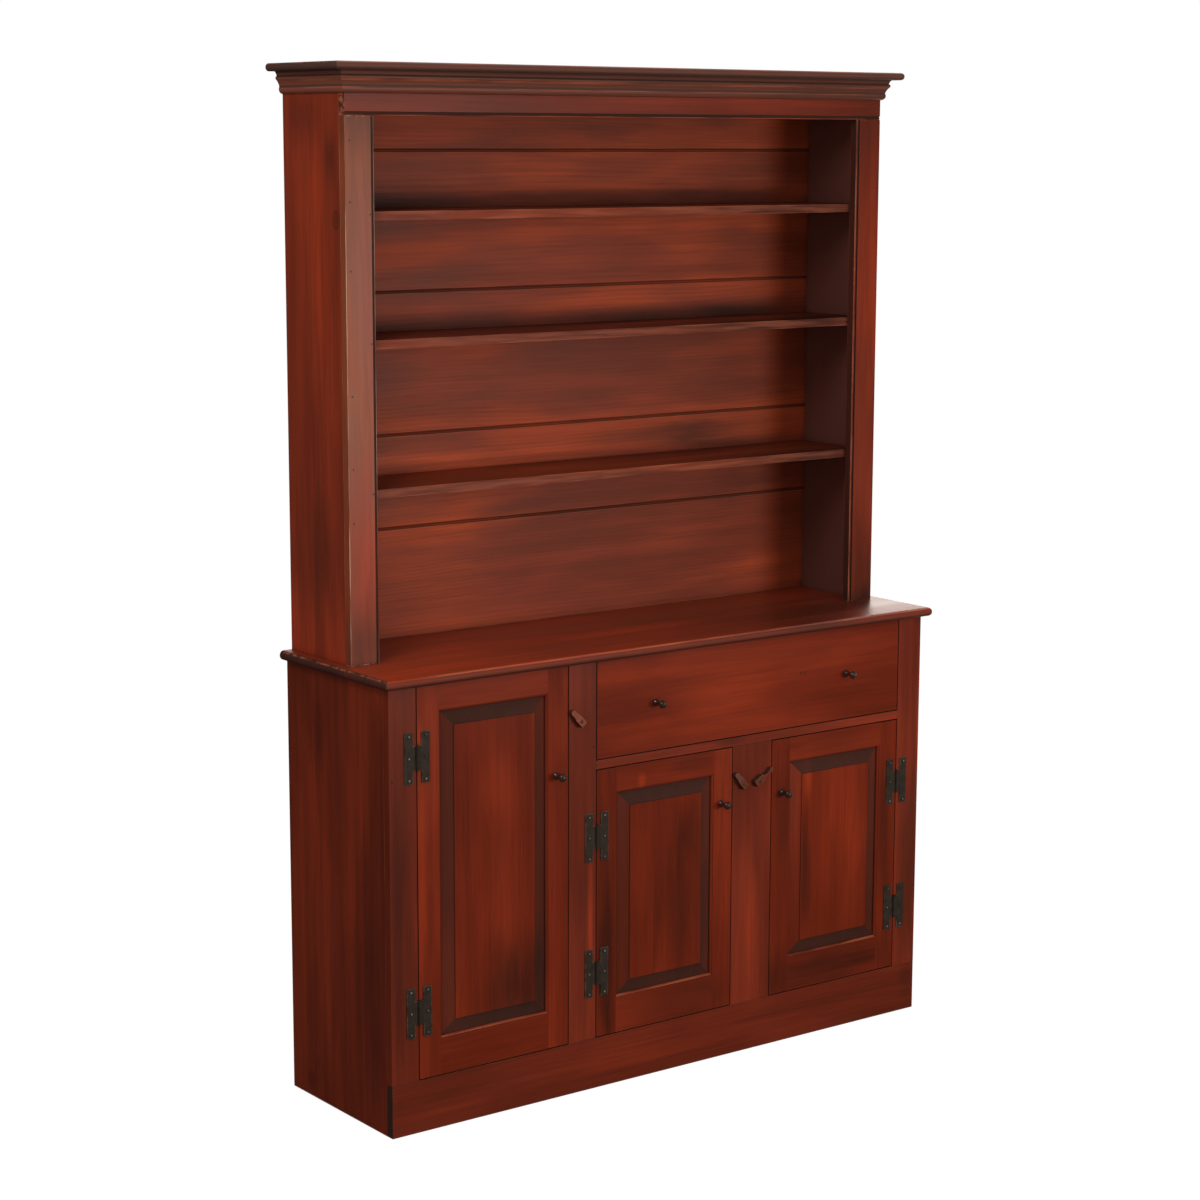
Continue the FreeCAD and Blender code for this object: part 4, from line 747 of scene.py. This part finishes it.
def ease(shape, width):
    """Sands the long sharp outer edges of a mesh, and marks what was sanded."""
    edge = shape.loops.layers.float.new("edge")
    bmesh.ops.remove_doubles(shape, verts=shape.verts, dist=WELD)
    bmesh.ops.dissolve_limit(
        shape, angle_limit=math.radians(0.4), verts=shape.verts, edges=shape.edges)
    shape.normal_update()
    low, high = limits(shape.verts)
    sharp = [
        line for line in shape.edges
        if wide_enough(line, width) and line.is_convex
        and line.calc_face_angle(0.0) > math.radians(SHARP)]
    if sharp:
        eased = bmesh.ops.bevel(
            shape, geom=sharp, offset=width, offset_type="OFFSET", segments=2, profile=0.6,
            affect="EDGES", clamp_overlap=False, loop_slide=True)
        for face in eased["faces"]:
            glaze(face, edge, 1.0)
        for v in shape.verts:
            v.co = [min(max(v.co[i], low[i]), high[i]) for i in range(3)]
    shade_smooth(shape, 34)


def weighted(piece):
    """Keeps broad faces flat beside their rounded edges."""
    turn = piece.modifiers.new("Flat faces", "WEIGHTED_NORMAL")
    turn.keep_sharp = True
    turn.weight = 100
    depsgraph = bpy.context.evaluated_depsgraph_get()
    solved = bpy.data.meshes.new_from_object(piece.evaluated_get(depsgraph))
    piece.modifiers.clear()
    rough = piece.data
    piece.data = solved
    bpy.data.meshes.remove(rough)
    piece.data.name = piece.name


def new_object(name, shape, material):
    """Turns a finished bmesh into an object of the scene."""
    mesh = bpy.data.meshes.new(name)
    shape.to_mesh(mesh)
    shape.free()
    mesh.materials.append(material)
    thing = bpy.data.objects.new(name, mesh)
    bpy.context.scene.collection.objects.link(thing)
    return thing


def body_of(node):
    for body, members in frame["record"]["behaviour"]["bodies"].items():
        if node in members:
            return body
    raise RuntimeError(f"{node} is in no body")


def add_piece(name, shape, material, node):
    """Turns a finished bmesh into the piece that stands for a node."""
    piece = new_object(name, shape, FINISHES[material])
    weighted(piece)
    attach(piece, body_of(node))
    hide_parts(node)


def solid_of(node):
    shape = bmesh.new()
    shape.from_mesh(frame["nodes"][node].data)
    return shape


# ---------------------------------------------------------------- glaze and wear


def wear_layers(shape):
    """The layers that say where a shape is pale from wear and painted highlights, and where it is dark from
    end grain, glaze and painted shade.
    """
    return [shape.loops.layers.float[name] for name in ("edge", "end")]


def glaze(face, layer, much):
    """Raises a layer's value on one face."""
    for corner in face.loops:
        corner[layer] = max(corner[layer], much)


def wipe(face, layer):
    """Takes a layer's value off one face."""
    for corner in face.loops:
        corner[layer] = 0.0


def mark(shape, name, share):
    """Raises a layer on every face to what share(face) says."""
    layer = shape.loops.layers.float[name]
    for face in shape.faces:
        glaze(face, layer, share(face))


def glaze_quirks(shape):
    """Leaves glaze in the narrow quirks beside the back boards' beads."""
    front = limits(shape.verts)[0][1]

    def share(face):
        across, deep, up = spans(face.verts)
        way = face.normal
        if abs(way.y) < 0.75 and deep < 5.5 * MM:
            return 0.75 if abs(way.y) < 0.2 else 0.3
        if way.y < -0.9 and min(across, up) < 3.0 * MM:
            return 0.75 if face.calc_center_median().y > front + 1.5 * MM else 0.0
        return 1.0 if way.y > 0.2 and abs(way.z) > 0.2 else 0.0

    mark(shape, "end", share)


def glaze_joints(shape):
    """Leaves dirt along the eased edges, where one bare board meets the next."""
    edge, end = wear_layers(shape)
    for face in shape.faces:
        if max(abs(part) for part in face.normal) < 0.95:
            wipe(face, edge)
            glaze(face, end, 1.0)


def paint_bead_light_and_shade(shape):
    """Painted shade in a quirk, on the near half of its bead and on the edges that look in towards the
    opening; the bead's outer half is painted pale as a highlight.
    """
    edge, end = wear_layers(shape)
    low, high = limits(shape.verts)
    for face in shape.faces:
        middle, way = face.calc_center_median(), face.normal
        rim = min(middle.x - low[0], high[0] - middle.x, middle.z - low[2], high[2] - middle.z)
        sunk = middle.y - low[1]
        if rim > 9.0 * MM or sunk > 4.0 * MM:
            if way.x * middle.x < -0.5 and sunk > 4.0 * MM:
                glaze(face, end, 0.9)
        elif way.y > -0.985 and rim < 2.8 * MM:
            glaze(face, edge, 0.9)
        elif abs(way.y) < 0.985 or sunk > 1.5 * MM:
            wipe(face, edge)
            glaze(face, end, 1.0)


def darken_bevels(shape, left, right):
    """Darkens a raised panel's bevels: the upper and lower ones as end grain, the left one by door, and the
    right one and the steps beside the field as painted shadow.
    """
    def share(face):
        way = face.normal
        if way.y > -0.05:
            return 0.0
        if way.y > -0.3:
            return 1.0
        for much, looks in ((0.9, way.z), (0.5, -way.z), (left, -way.x), (right, way.x)):
            if looks > 0.1:
                return much
        return 0.0

    mark(shape, "end", share)


def glaze_tops(shape):
    """Leaves the tops of the shelves a little darker, and wears their fronts."""
    mark(shape, "end", lambda face: 0.05 if face.normal.z > 0.9 else 0.0)
    mark(shape, "edge", lambda face: 0.35 if face.normal.y < -0.9 else 0.0)


def shade_gap_sides(shape):
    """Paints shade on the edges that face a gap, but not on the case's outer sides."""
    def share(face):
        inside = abs(face.calc_center_median().x) < -BASE_SIDE - 6 * MM
        return 0.9 if abs(face.normal.y) < 0.95 and inside else 0.0

    mark(shape, "end", share)


def shade_outer_edges(shape):
    """Paints shade on a door frame's outer edges, on the rounded edges at its front and in the steps of its
    moulding, so the gaps and steps read dark.
    """
    front = limits(shape.verts)[0][1]

    def share(face):
        if abs(face.normal.y) < 0.3 and not 1.5 * MM < spans(face.verts)[1] < 8.0 * MM:
            return 1.0
        proud = face.calc_center_median().y < front + 1.2 * MM
        return 0.8 if face.normal.y > -0.95 and proud else 0.0

    mark(shape, "end", share)


def paint_sill_highlight(shape):
    """A door's foot rail: the painted shade of its outer edges, and a painted highlight on its moulding
    where it looks up.
    """
    shade_outer_edges(shape)
    edge, end = wear_layers(shape)
    for face in shape.faces:
        if face.normal.z > 0.12 and face.normal.y < -0.12 and spans(face.verts)[2] < 12.0 * MM:
            glaze(face, edge, 1.0)
            wipe(face, end)


def shade_inner_face(shape):
    """Paints a side's inner face with the end colour, as painted shade."""
    mark(shape, "end", lambda face: 1.0 if face.normal.x * face.calc_center_median().x < -0.1 else 0.0)


def wear_and_shade_nose(shape):
    """Paints the upper turn of a rounded edge pale, as wear and a painted highlight, paints shade on its
    underside, and darkens its front.
    """
    edge, end = wear_layers(shape)
    for face in shape.faces:
        up = face.normal.z
        if 0.6 < up < 0.95:
            glaze(face, edge, 0.9)
        elif up < -0.3:
            wipe(face, end)
            glaze(face, end, 0.95)
        elif up < 0.6:
            glaze(face, end, 0.6)


def finish_boards(boards, material, eased, lay_marks=None, worn=1.0):
    """Eases and grains each board: (node, way of its grain, tone)."""
    for node, along, tone in boards:
        shape = solid_of(node)
        ease(shape, eased)
        lay_grain(shape, node, along, tone)
        edge = shape.loops.layers.float["edge"]
        for face in shape.faces:
            for corner in face.loops:
                corner[edge] *= worn
        if lay_marks:
            lay_marks(shape)
        add_piece(f"{node}_finished", shape, material, node)


def skin(shape, rings, tip=None):
    """Joins closed rings of corners, and closes the first and the last, which may rise to a tip."""
    rows = [[shape.verts.new(point) for point in ring] for ring in rings]
    for first, second in zip(rows, rows[1:]):
        for i, corner in enumerate(first):
            j = (i + 1) % len(first)
            shape.faces.new((corner, first[j], second[j], second[i]))
    shape.faces.new(rows[0])
    last = rows[-1]
    if tip is None:
        shape.faces.new(last[::-1])
    else:
        top = shape.verts.new(tip)
        for i, corner in enumerate(last):
            shape.faces.new((corner, last[(i + 1) % len(last)], top))
    return last


def finish_shape(shape, name, along, tone, smooth=50.0):
    """Gives a shape made here its normals, grain and edge marks."""
    bmesh.ops.recalc_face_normals(shape, faces=shape.faces)
    if "edge" not in shape.loops.layers.float:
        shape.loops.layers.float.new("edge")
    shade_smooth(shape, smooth)
    lay_grain(shape, name, along, tone)


# ---------------------------------------------------------------- counter, cap and crown


def quarter(steps):
    """The turns of a quarter circle in equal steps."""
    return [math.pi / 2 * k / steps for k in range(steps + 1)]


def nosed_board(node, nose, corner, along, tone):
    """A board with a rounded edge at its front and both ends, and a square back."""
    low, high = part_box(node)
    upper = [(nose * (1 - math.cos(turn)), high.z - nose + nose * math.sin(turn))
             for turn in reversed(quarter(9))]
    lower = [(inset, low.z + high.z - z) for inset, z in reversed(upper)]
    rings = []
    for inset, z in upper + lower:
        left, right, front = low.x + inset, high.x - inset, low.y + inset
        bend = max(corner - inset * 0.5, 0.4 * MM)
        bends = [(bend * (1 - math.cos(turn)), bend * (1 - math.sin(turn))) for turn in quarter(5)]
        ring = [(left, high.y, z)]
        ring += [(left + aside, front + back, z) for aside, back in bends]
        ring += [(right - aside, front + back, z) for aside, back in reversed(bends)]
        rings.append(ring + [(right, high.y, z)])
    shape = bmesh.new()
    skin(shape, rings)
    finish_shape(shape, node, along, tone)
    wear_and_shade_nose(shape)
    return shape


def arc_between(start, end, radius, steps):
    """Points on an arc from start to end; a negative radius bends it the other way."""
    (x0, z0), (x1, z1) = start, end
    half = math.hypot(x1 - x0, z1 - z0) / 2
    side = math.copysign(1, radius)
    rise = math.sqrt(max(radius * radius - half * half, 0.0))
    ux, uz = (x1 - x0) / (2 * half), (z1 - z0) / (2 * half)
    cx, cz = (x0 + x1) / 2 - side * uz * rise, (z0 + z1) / 2 + side * ux * rise
    a0 = math.atan2(z0 - cz, x0 - cx)
    a1 = math.atan2(z1 - cz, x1 - cx)
    turn = (a1 - a0 + math.pi) % (2 * math.pi) - math.pi
    return [(cx + abs(radius) * math.cos(a0 + turn * k / steps),
             cz + abs(radius) * math.sin(a0 + turn * k / steps)) for k in range(1, steps + 1)]


def crown_line():
    """The crown's section, out from the case and up from the crown's foot, in millimetres."""
    line = [(0.0, 0.0)]
    line += arc_between((0.0, 0.0), (8.0, 12.2), 9.5, 8)
    line += [(7.2, 14.4)]
    line += arc_between((7.2, 14.4), (14.2, 28.0), -26.0, 6)
    line += arc_between((14.2, 28.0), (12.9, 35.2), 4.3, 8)
    line += arc_between((12.9, 35.2), (17.3, 44.0), -16.0, 6)
    return line


def paint_crown_light_and_shade(shape, foot):
    """Paints pale highlights on the crown's proud turns, and shade in its hollows and under the cap."""
    edge, end = wear_layers(shape)
    for face in shape.faces:
        up = (face.calc_center_median().z - foot) / MM
        if 12.0 < up < 17.0 or 31.5 < up < 36.5 or up > 41.5:
            wipe(face, end)
            glaze(face, end, 0.95)
        elif 9.5 < up < 12.0 or 25.0 < up < 29.0:
            glaze(face, edge, 0.9)


def crown_runs():
    """The crown's front run and its two returns, mitred at the corners."""
    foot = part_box("crown_front")[0].z
    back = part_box("crown_returns")[1].y
    low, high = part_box("upper_header")
    section = [(out * MM, foot + up * MM) for out, up in crown_line()]
    section.append((0.0, section[-1][1]))
    left = [(low.x - out, low.y - out, z) for out, z in section]
    right = [(high.x + out, low.y - out, z) for out, z in section]
    front, returns = bmesh.new(), bmesh.new()
    skin(front, (left, right))
    for mitre in (left, right):
        skin(returns, (mitre, [(x, back, z) for x, y, z in mitre]))
    # The returns' tone of 1.4 is painted light: they face away from the key.
    runs = (("crown_front", front, "x", 0.92), ("crown_returns", returns, "y", 1.4))
    for node, shape, along, tone in runs:
        finish_shape(shape, node, along, tone, 40)
        paint_crown_light_and_shade(shape, foot)
    return front, returns


# ---------------------------------------------------------------- turned and forged pieces


def circle(steps):
    """The turns of a full circle in equal steps."""
    return [2 * math.pi * k / steps for k in range(steps)]


def knob_line(sizes):
    """Half section of a knob: distance from the door, and radius, in metres."""
    head, proud = sizes.knob_head, sizes.knob_proud
    line = [(0.0, 0.0078), (0.0004, 0.0080), (0.0018, 0.0080), (0.0024, 0.0077),
            (0.0036, 0.0066), (0.0052, 0.0056), (0.0074, 0.0047), (0.0100, 0.0045),
            (0.0124, 0.0048), (0.0150, 0.0058), (0.0174, 0.0072)]
    half_long = head * 0.86
    for k in range(12):
        turn = math.radians(-34) + math.radians(124) * k / 12
        line.append((proud - half_long + half_long * math.sin(turn), head * math.cos(turn)))
    return line


def turned_knob(shape, place, sizes):
    """Lathes one knob back from the place of its tip to the face of its door."""
    x, tip, z = place
    face = tip + sizes.knob_proud
    rings = [[(x + radius * math.cos(turn), face - out, z + radius * math.sin(turn))
              for turn in circle(sizes.turning_steps)] for out, radius in knob_line(sizes)]
    skin(shape, rings, place)


def tips(node):
    """The middle of each solid of a node, at its front end."""
    shape = solid_of(node)
    bmesh.ops.remove_doubles(shape, verts=shape.verts, dist=WELD)
    found = []
    for solid in islands(shape):
        low, high = limits(solid)
        found.append(((low[0] + high[0]) / 2, low[1], (low[2] + high[2]) / 2))
    shape.free()
    return found


def nail_heads(node, luck):
    """Hand-made nail heads: a square, hammered to a low uneven dome."""
    made = bmesh.new()
    edge = made.loops.layers.float.new("edge")
    half, high = 3.4 * MM, 1.9 * MM
    for x, tip, z in tips(node):
        turned = luck.uniform(-0.2, 0.2)
        rings = []
        for share, up in ((1.0, 0.0), (1.0, 0.3), (0.86, 0.62), (0.6, 0.86), (0.3, 0.97)):
            ring = []
            for turn in circle(16):
                corner = 1 / max(abs(math.cos(turn)), abs(math.sin(turn)))
                reach = half * share * (corner * 0.55 + 0.45) * luck.uniform(0.94, 1.0) * 0.93
                ring.append((x + reach * math.cos(turn + turned),
                             tip + high * (1 - up) + luck.uniform(0, 0.1 * MM),
                             z + reach * math.sin(turn + turned)))
            rings.append(ring)
        last = skin(made, rings, (x, tip, z))
        for face in {face for corner in last for face in corner.link_faces}:
            glaze(face, edge, 1.0)
    finish_shape(made, node, "y", 1.0, 60)
    return made


# ---------------------------------------------------------------- operators


class CupboardOperator:
    """What the cupboard's operators have in common."""

    bl_options = {"REGISTER", "UNDO"}

    def execute(self, context):
        self.make(context.scene.cupboard_finish, context.scene.cupboard_sizes)
        return {"FINISHED"}


class CUPBOARD_OT_woods(CupboardOperator, bpy.types.Operator):
    """Mixes the stains, the lacquer and the black of the ironwork"""

    bl_idname = "cupboard.woods"
    bl_label = "Woods and iron"

    def make(self, finish, sizes):
        make_materials(finish)


class CUPBOARD_OT_base_case(CupboardOperator, bpy.types.Operator):
    """Finishes the base's sides and face frame"""

    bl_idname = "cupboard.base_case"
    bl_label = "Base case"

    def make(self, finish, sizes):
        finish_boards((("base_left_side", "z", 1.0), ("base_right_side", "z", 1.0)),
                      "case_wood", finish.eased * 0.3)
        finish_boards(
            (("base_foot_rail", "x", 1.0), ("base_left_stile", "z", 1.0),
             ("base_middle_stile", "z", 1.0), ("base_centre_stile", "z", 1.0),
             ("base_right_stile", "z", 1.0), ("drawer_rail", "x", 1.22)),
            "case_wood", finish.eased, lay_marks=shade_gap_sides, worn=0.12)


class CUPBOARD_OT_upper_case(CupboardOperator, bpy.types.Operator):
    """Finishes the upper case's sides, stiles and header"""

    bl_idname = "cupboard.upper_case"
    bl_label = "Upper case"

    def make(self, finish, sizes):
        # The upper left side's tone of 1.6 is partly painted light, on a side that the key does not reach.
        finish_boards((("upper_left_side", "z", 1.6),), "case_wood", finish.eased * 0.3)
        # The right side's inner face gets painted shade.
        finish_boards((("upper_right_side", "z", 1.0),), "right_side_wood", finish.eased * 0.3,
                      lay_marks=shade_inner_face)
        # The header's and the stiles' beads get painted shade and painted highlights.
        finish_boards((("upper_header", "x", 1.0), ("upper_right_stile", "z", 1.1)), "case_wood",
                      finish.eased, lay_marks=paint_bead_light_and_shade)
        # The upper left stile's tone of 1.12 adds to its painted light.
        finish_boards((("upper_left_stile", "z", 1.12),), "stile_wood", finish.eased * 1.1,
                      lay_marks=paint_bead_light_and_shade)


class CUPBOARD_OT_hutch(CupboardOperator, bpy.types.Operator):
    """Finishes the open shelves and the back boards behind them"""

    bl_idname = "cupboard.hutch"
    bl_label = "Open shelves"

    def make(self, finish, sizes):
        finish_boards((("upper_shelves", "x", 0.95),), "hutch_wood", finish.eased,
                      lay_marks=glaze_tops)
        # The back boards' tone of 1.55 is partly painted light from the key.
        finish_boards((("upper_back_boards", "x", 1.55),), "hutch_wood", finish.eased,
                      lay_marks=glaze_quirks)


class CUPBOARD_OT_inside(CupboardOperator, bpy.types.Operator):
    """Finishes the plain boards inside the base and the drawer"""

    bl_idname = "cupboard.inside"
    bl_label = "Inside boards"

    def make(self, finish, sizes):
        finish_boards(
            (("base_floor", "x", 1.0), ("base_partition", "z", 1.0), ("base_shelves", "x", 1.0),
             ("base_back_boards", "z", 1.0), ("drawer_runners", "y", 1.0),
             ("drawer_sides", "y", 1.0), ("drawer_back", "x", 1.0), ("drawer_bottom", "x", 1.0)),
            "inner_wood", finish.eased, lay_marks=glaze_joints)


class CUPBOARD_OT_doors(CupboardOperator, bpy.types.Operator):
    """Finishes the door frames, their raised panels and the drawer front"""

    bl_idname = "cupboard.doors"
    bl_label = "Doors and drawer front"

    def make(self, finish, sizes):
        for door in DOORS:
            finish_boards(
                ((f"{door}_door_hinge_stile", "z", 1.0), (f"{door}_door_lock_stile", "z", 1.0),
                 (f"{door}_door_top_rail", "x", 1.0)),
                "door_wood", finish.eased, lay_marks=shade_outer_edges, worn=0.15)
            finish_boards(((f"{door}_door_foot_rail", "x", 1.0),), "door_wood", finish.eased,
                          lay_marks=paint_sill_highlight, worn=0.15)
            finish_boards(((f"{door}_door_panel", "z", 1.0),), "panel_wood", finish.eased * 0.4,
                          lay_marks=lambda shape: darken_bevels(shape, *PANEL_BEVEL_DARKNESS[door]))
        finish_boards((("drawer_front", "x", 1.05),), "door_wood", finish.eased,
                      lay_marks=shade_gap_sides, worn=0.15)


class CUPBOARD_OT_counter_and_cap(CupboardOperator, bpy.types.Operator):
    """Makes the counter and the cap with their rounded edges"""

    bl_idname = "cupboard.counter_and_cap"
    bl_label = "Counter and cap"

    def make(self, finish, sizes):
        # The counter's tone of 1.72 is partly painted light.
        for node, nose, tone in (
                ("counter_top", sizes.counter_nose, 1.72), ("cap_board", sizes.cap_nose, 1.25)):
            shape = nosed_board(node, nose, sizes.corner_round, "x", tone)
            material = "case_wood" if node == "counter_top" else "painted_sheen_crown_wood"
            add_piece(f"{node}_nosed", shape, material, node)


class CUPBOARD_OT_crown(CupboardOperator, bpy.types.Operator):
    """Runs the crown moulding round the upper case"""

    bl_idname = "cupboard.crown"
    bl_label = "Crown moulding"

    def make(self, finish, sizes):
        front, returns = crown_runs()
        add_piece("crown_front_run", front, "painted_sheen_crown_wood", "crown_front")
        add_piece("crown_return_runs", returns, "painted_sheen_crown_wood", "crown_returns")


class CUPBOARD_OT_knobs(CupboardOperator, bpy.types.Operator):
    """Turns the door and drawer knobs"""

    bl_idname = "cupboard.knobs"
    bl_label = "Knobs"

    def make(self, finish, sizes):
        nodes = [(f"{door}_door_knob", 1) for door in DOORS] + [("drawer_knobs", 2)]
        for node, count in nodes:
            places = sorted(tips(node))
            if len(places) != count:
                raise RuntimeError(f"{node} has {len(places)} knobs, and not {count}")
            shape = bmesh.new()
            for place in places:
                turned_knob(shape, place, sizes)
            finish_shape(shape, node, "y", 1.0, 60)
            add_piece(f"{node}_turned", shape, "knob_wood", node)


class CUPBOARD_OT_turn_buttons(CupboardOperator, bpy.types.Operator):
    """Finishes the wooden turn buttons and their screws"""

    bl_idname = "cupboard.turn_buttons"
    bl_label = "Turn buttons"

    def make(self, finish, sizes):
        for door, tone in zip(DOORS, (1.35, 0.8, 0.85)):
            finish_boards(((f"{door}_turn_button", "x", tone),), "button_wood", finish.eased)
        finish_boards((("button_screws", "y", 1.0),), "screw_steel", finish.eased * 0.3)


class CUPBOARD_OT_hinges(CupboardOperator, bpy.types.Operator):
    """Forges the hinge leaves, their pins and the nails that hold them"""

    bl_idname = "cupboard.hinges"
    bl_label = "Hinges"

    def make(self, finish, sizes):
        luck = random.Random("forge")
        leaves = ["cabinet_hinge_leaves"] + [f"{door}_door_hinge_leaves" for door in DOORS]
        for node in leaves + ["hinge_pins"]:
            finish_boards(((node, "z", 1.0),), "black_iron", finish.eased * 0.4)
        nails = ["cabinet_hinge_nails"] + [f"{door}_door_hinge_nails" for door in DOORS]
        for node in nails:
            add_piece(f"{node}_forged", nail_heads(node, luck), "black_iron", node)


class CUPBOARD_OT_stage(CupboardOperator, bpy.types.Operator):
    """Sets the floor, the lamps and the camera"""

    bl_idname = "cupboard.stage"
    bl_label = "Stage"

    def make(self, finish, sizes):
        make_floor()
        make_world()
        make_flags()
        make_card()
        make_lamps()
        make_camera()
        bpy.context.scene.view_settings.view_transform = "Standard"


def pale_rays(bench):
    """1 for rays that should see the plain background, and 0 for those that light the wood."""
    path = bench.node("ShaderNodeLightPath").outputs
    seen = bench.plus(path["Is Camera Ray"], path["Is Glossy Ray"], clamp=True)
    return bench.plus(seen, path["Is Transmission Ray"], clamp=True)


def glowing(name, colour, strength):
    """A stage material that only gives light."""
    material = bpy.data.materials.new(name)
    bench = empty_tree(material)
    bench.close(bench.node("ShaderNodeEmission", {"Color": colour, "Strength": strength}))
    return material


def around(radius, start, sweep, steps):
    """Places on an arc round the cupboard; its angles are in degrees."""
    turns = [math.radians(start + sweep * k / steps) for k in range(steps + 1)]
    return [(radius * math.cos(turn), radius * math.sin(turn)) for turn in turns]


def stand(name, shape, material, seen=True):
    """Puts a shape on the stage; what isn't seen shows only in reflections."""
    thing = new_object(name, shape, material)
    if not seen:
        for ray in ("camera", "diffuse", "shadow", "transmission", "volume_scatter"):
            setattr(thing, f"visible_{ray}", False)


def make_floor():
    material = bpy.data.materials.new("pale_floor")
    bench = empty_tree(material)
    glow = bench.times(pale_rays(bench), 0.86)
    light = bench.node("ShaderNodeEmission", {"Color": (1, 1, 1, 1), "Strength": glow})
    shade = bench.node("ShaderNodeBsdfDiffuse", {"Color": (0.34, 0.34, 0.34, 1)})
    bench.close(bench.node("ShaderNodeAddShader", {0: light.outputs[0], 1: shade.outputs[0]}))
    reach, level = 30.0, -0.5 * MM
    shape = bmesh.new()
    shape.faces.new([shape.verts.new((x * reach, y * reach, level))
                     for x, y in ((-1, -1), (1, -1), (1, 1), (-1, 1))])
    stand("floor", shape, material)


def make_world():
    """A plain room, brighter before the cupboard than behind it."""
    world = bpy.data.worlds.new("Plain room")
    bpy.context.scene.world = world
    world.cycles.sampling_method = "NONE"
    bench = empty_tree(world)
    pale = pale_rays(bench)
    way = bench.node("ShaderNodeTexCoord").outputs["Generated"]
    depth = bench.node("ShaderNodeSeparateXYZ", {0: way}).outputs["Y"]
    room = bench.rescale(depth, 0.1, -0.9, 0.36, 0.60)
    strength = bench.plus(bench.times(pale, bench.math("SUBTRACT", 1.0, room)), room)
    light = bench.node("ShaderNodeBackground", {"Color": (1, 1, 1, 1), "Strength": strength})
    bench.close(light, "World")


def make_flags():
    """Dark flats and a roof round the cupboard, which only its lacquer reflects."""
    shape = bmesh.new()
    walls = around(9.0, 75, 280, 36)
    low, high = [[shape.verts.new((x, y, z)) for x, y in walls] for z in (2 * MM, 7.0)]
    for i in range(len(walls) - 1):
        shape.faces.new((low[i], low[i + 1], high[i + 1], high[i]))
    for ring in (low, high):
        hub = shape.verts.new((0.0, 0.0, ring[0].co.z))
        for one, two in zip(ring, ring[1:]):
            shape.faces.new((hub, one, two))
    stand("dark_flats", shape, glowing("dark_flat", (0.02, 0.017, 0.015, 1), 1.0), seen=False)


def make_card():
    """A bright card behind at the right, which the end of the counter reflects."""
    shape = bmesh.new()
    rows = [[shape.verts.new((x, y, z)) for z in (0.9, 4.2)] for x, y in around(7.5, 28, 32, 6)]
    for one, two in zip(rows, rows[1:]):
        shape.faces.new((one[0], two[0], two[1], one[1]))
    stand("bright_card", shape, glowing("bright_card", (1.0, 0.88, 0.80, 1), 3.4), seen=False)


def make_lamps():
    """A broad soft key from the right front at counter height, the sheen that the lacquer
    shows of it, a smaller softbox high at the left for the sides, and a soft fill."""
    for name, place, target, size, power, colour, lights, shines in (
            ("key_softbox", (1.8, -4.3, 1.05), (-0.1, 0.0, 1.25), (1.8, 0.6), 97.0,
             (1.0, 0.975, 0.93), True, False),
            ("key_sheen", (1.75, -4.2, 1.3), (-0.4, 0.0, 1.4), (0.8, 1.2), 29.0,
             (1.0, 0.93, 0.84), False, True),
            ("left_softbox", (-2.3, -1.1, 3.0), (-0.7, 0.0, 1.9), (1.0, 1.0), 25.0,
             (1.0, 1.0, 1.0), True, True),
            ("left_fill", (-4.2, -3.4, 1.5), (0.3, 0.0, 1.3), (2.4, 2.2), 34.0,
             (1.0, 0.98, 0.95), True, False)):
        lamp = bpy.data.lights.new(name, "AREA")
        lamp.shape = "RECTANGLE"
        lamp.size, lamp.size_y = size
        lamp.energy = power
        lamp.color = colour
        holder = bpy.data.objects.new(name, lamp)
        bpy.context.scene.collection.objects.link(holder)
        holder.visible_diffuse = lights
        holder.visible_glossy = shines
        holder.location = place
        turned = (Vector(target) - Vector(place)).to_track_quat("-Z", "Y")
        holder.rotation_euler = turned.to_euler()


def make_camera():
    camera = bpy.data.cameras.new("camera")
    camera.lens = 80.73
    camera.sensor_width = 36.0
    camera.clip_end = 100.0
    holder = bpy.data.objects.new("camera", camera)
    bpy.context.scene.collection.objects.link(holder)
    holder.location = (-3.4581, -4.55255, 1.98473)
    holder.rotation_euler = [math.radians(turn) for turn in (80.26496, -0.15868, -36.70278)]
    bpy.context.scene.camera = holder


class VIEW3D_PT_cupboard(bpy.types.Panel):
    """Sizes, colours and pieces of the cupboard"""

    bl_idname = "VIEW3D_PT_cupboard"
    bl_label = "Step Back Cupboard"
    bl_space_type = "VIEW_3D"
    bl_region_type = "UI"
    bl_category = "Cupboard"

    def draw(self, context):
        for group in (context.scene.cupboard_finish, context.scene.cupboard_sizes):
            box = self.layout.box()
            for name in group.__annotations__:
                box.prop(group, name)
        for operator in OPERATORS:
            self.layout.operator(operator.bl_idname)


OPERATORS = (
    CUPBOARD_OT_woods, CUPBOARD_OT_base_case, CUPBOARD_OT_upper_case, CUPBOARD_OT_hutch,
    CUPBOARD_OT_inside, CUPBOARD_OT_doors, CUPBOARD_OT_counter_and_cap, CUPBOARD_OT_crown,
    CUPBOARD_OT_knobs, CUPBOARD_OT_turn_buttons, CUPBOARD_OT_hinges, CUPBOARD_OT_stage,
)
CLASSES = (CupboardFinish, CupboardSizes) + OPERATORS + (VIEW3D_PT_cupboard,)


def register():
    for kind in CLASSES:
        bpy.utils.register_class(kind)
    bpy.types.Scene.cupboard_finish = bpy.props.PointerProperty(type=CupboardFinish)
    bpy.types.Scene.cupboard_sizes = bpy.props.PointerProperty(type=CupboardSizes)


def unregister():
    del bpy.types.Scene.cupboard_sizes
    del bpy.types.Scene.cupboard_finish
    for kind in reversed(CLASSES):
        bpy.utils.unregister_class(kind)


def main():
    register()
    for operator in OPERATORS:
        group, name = operator.bl_idname.split(".")
        getattr(getattr(bpy.ops, group), name)()


if __name__ == "__main__":
    main()
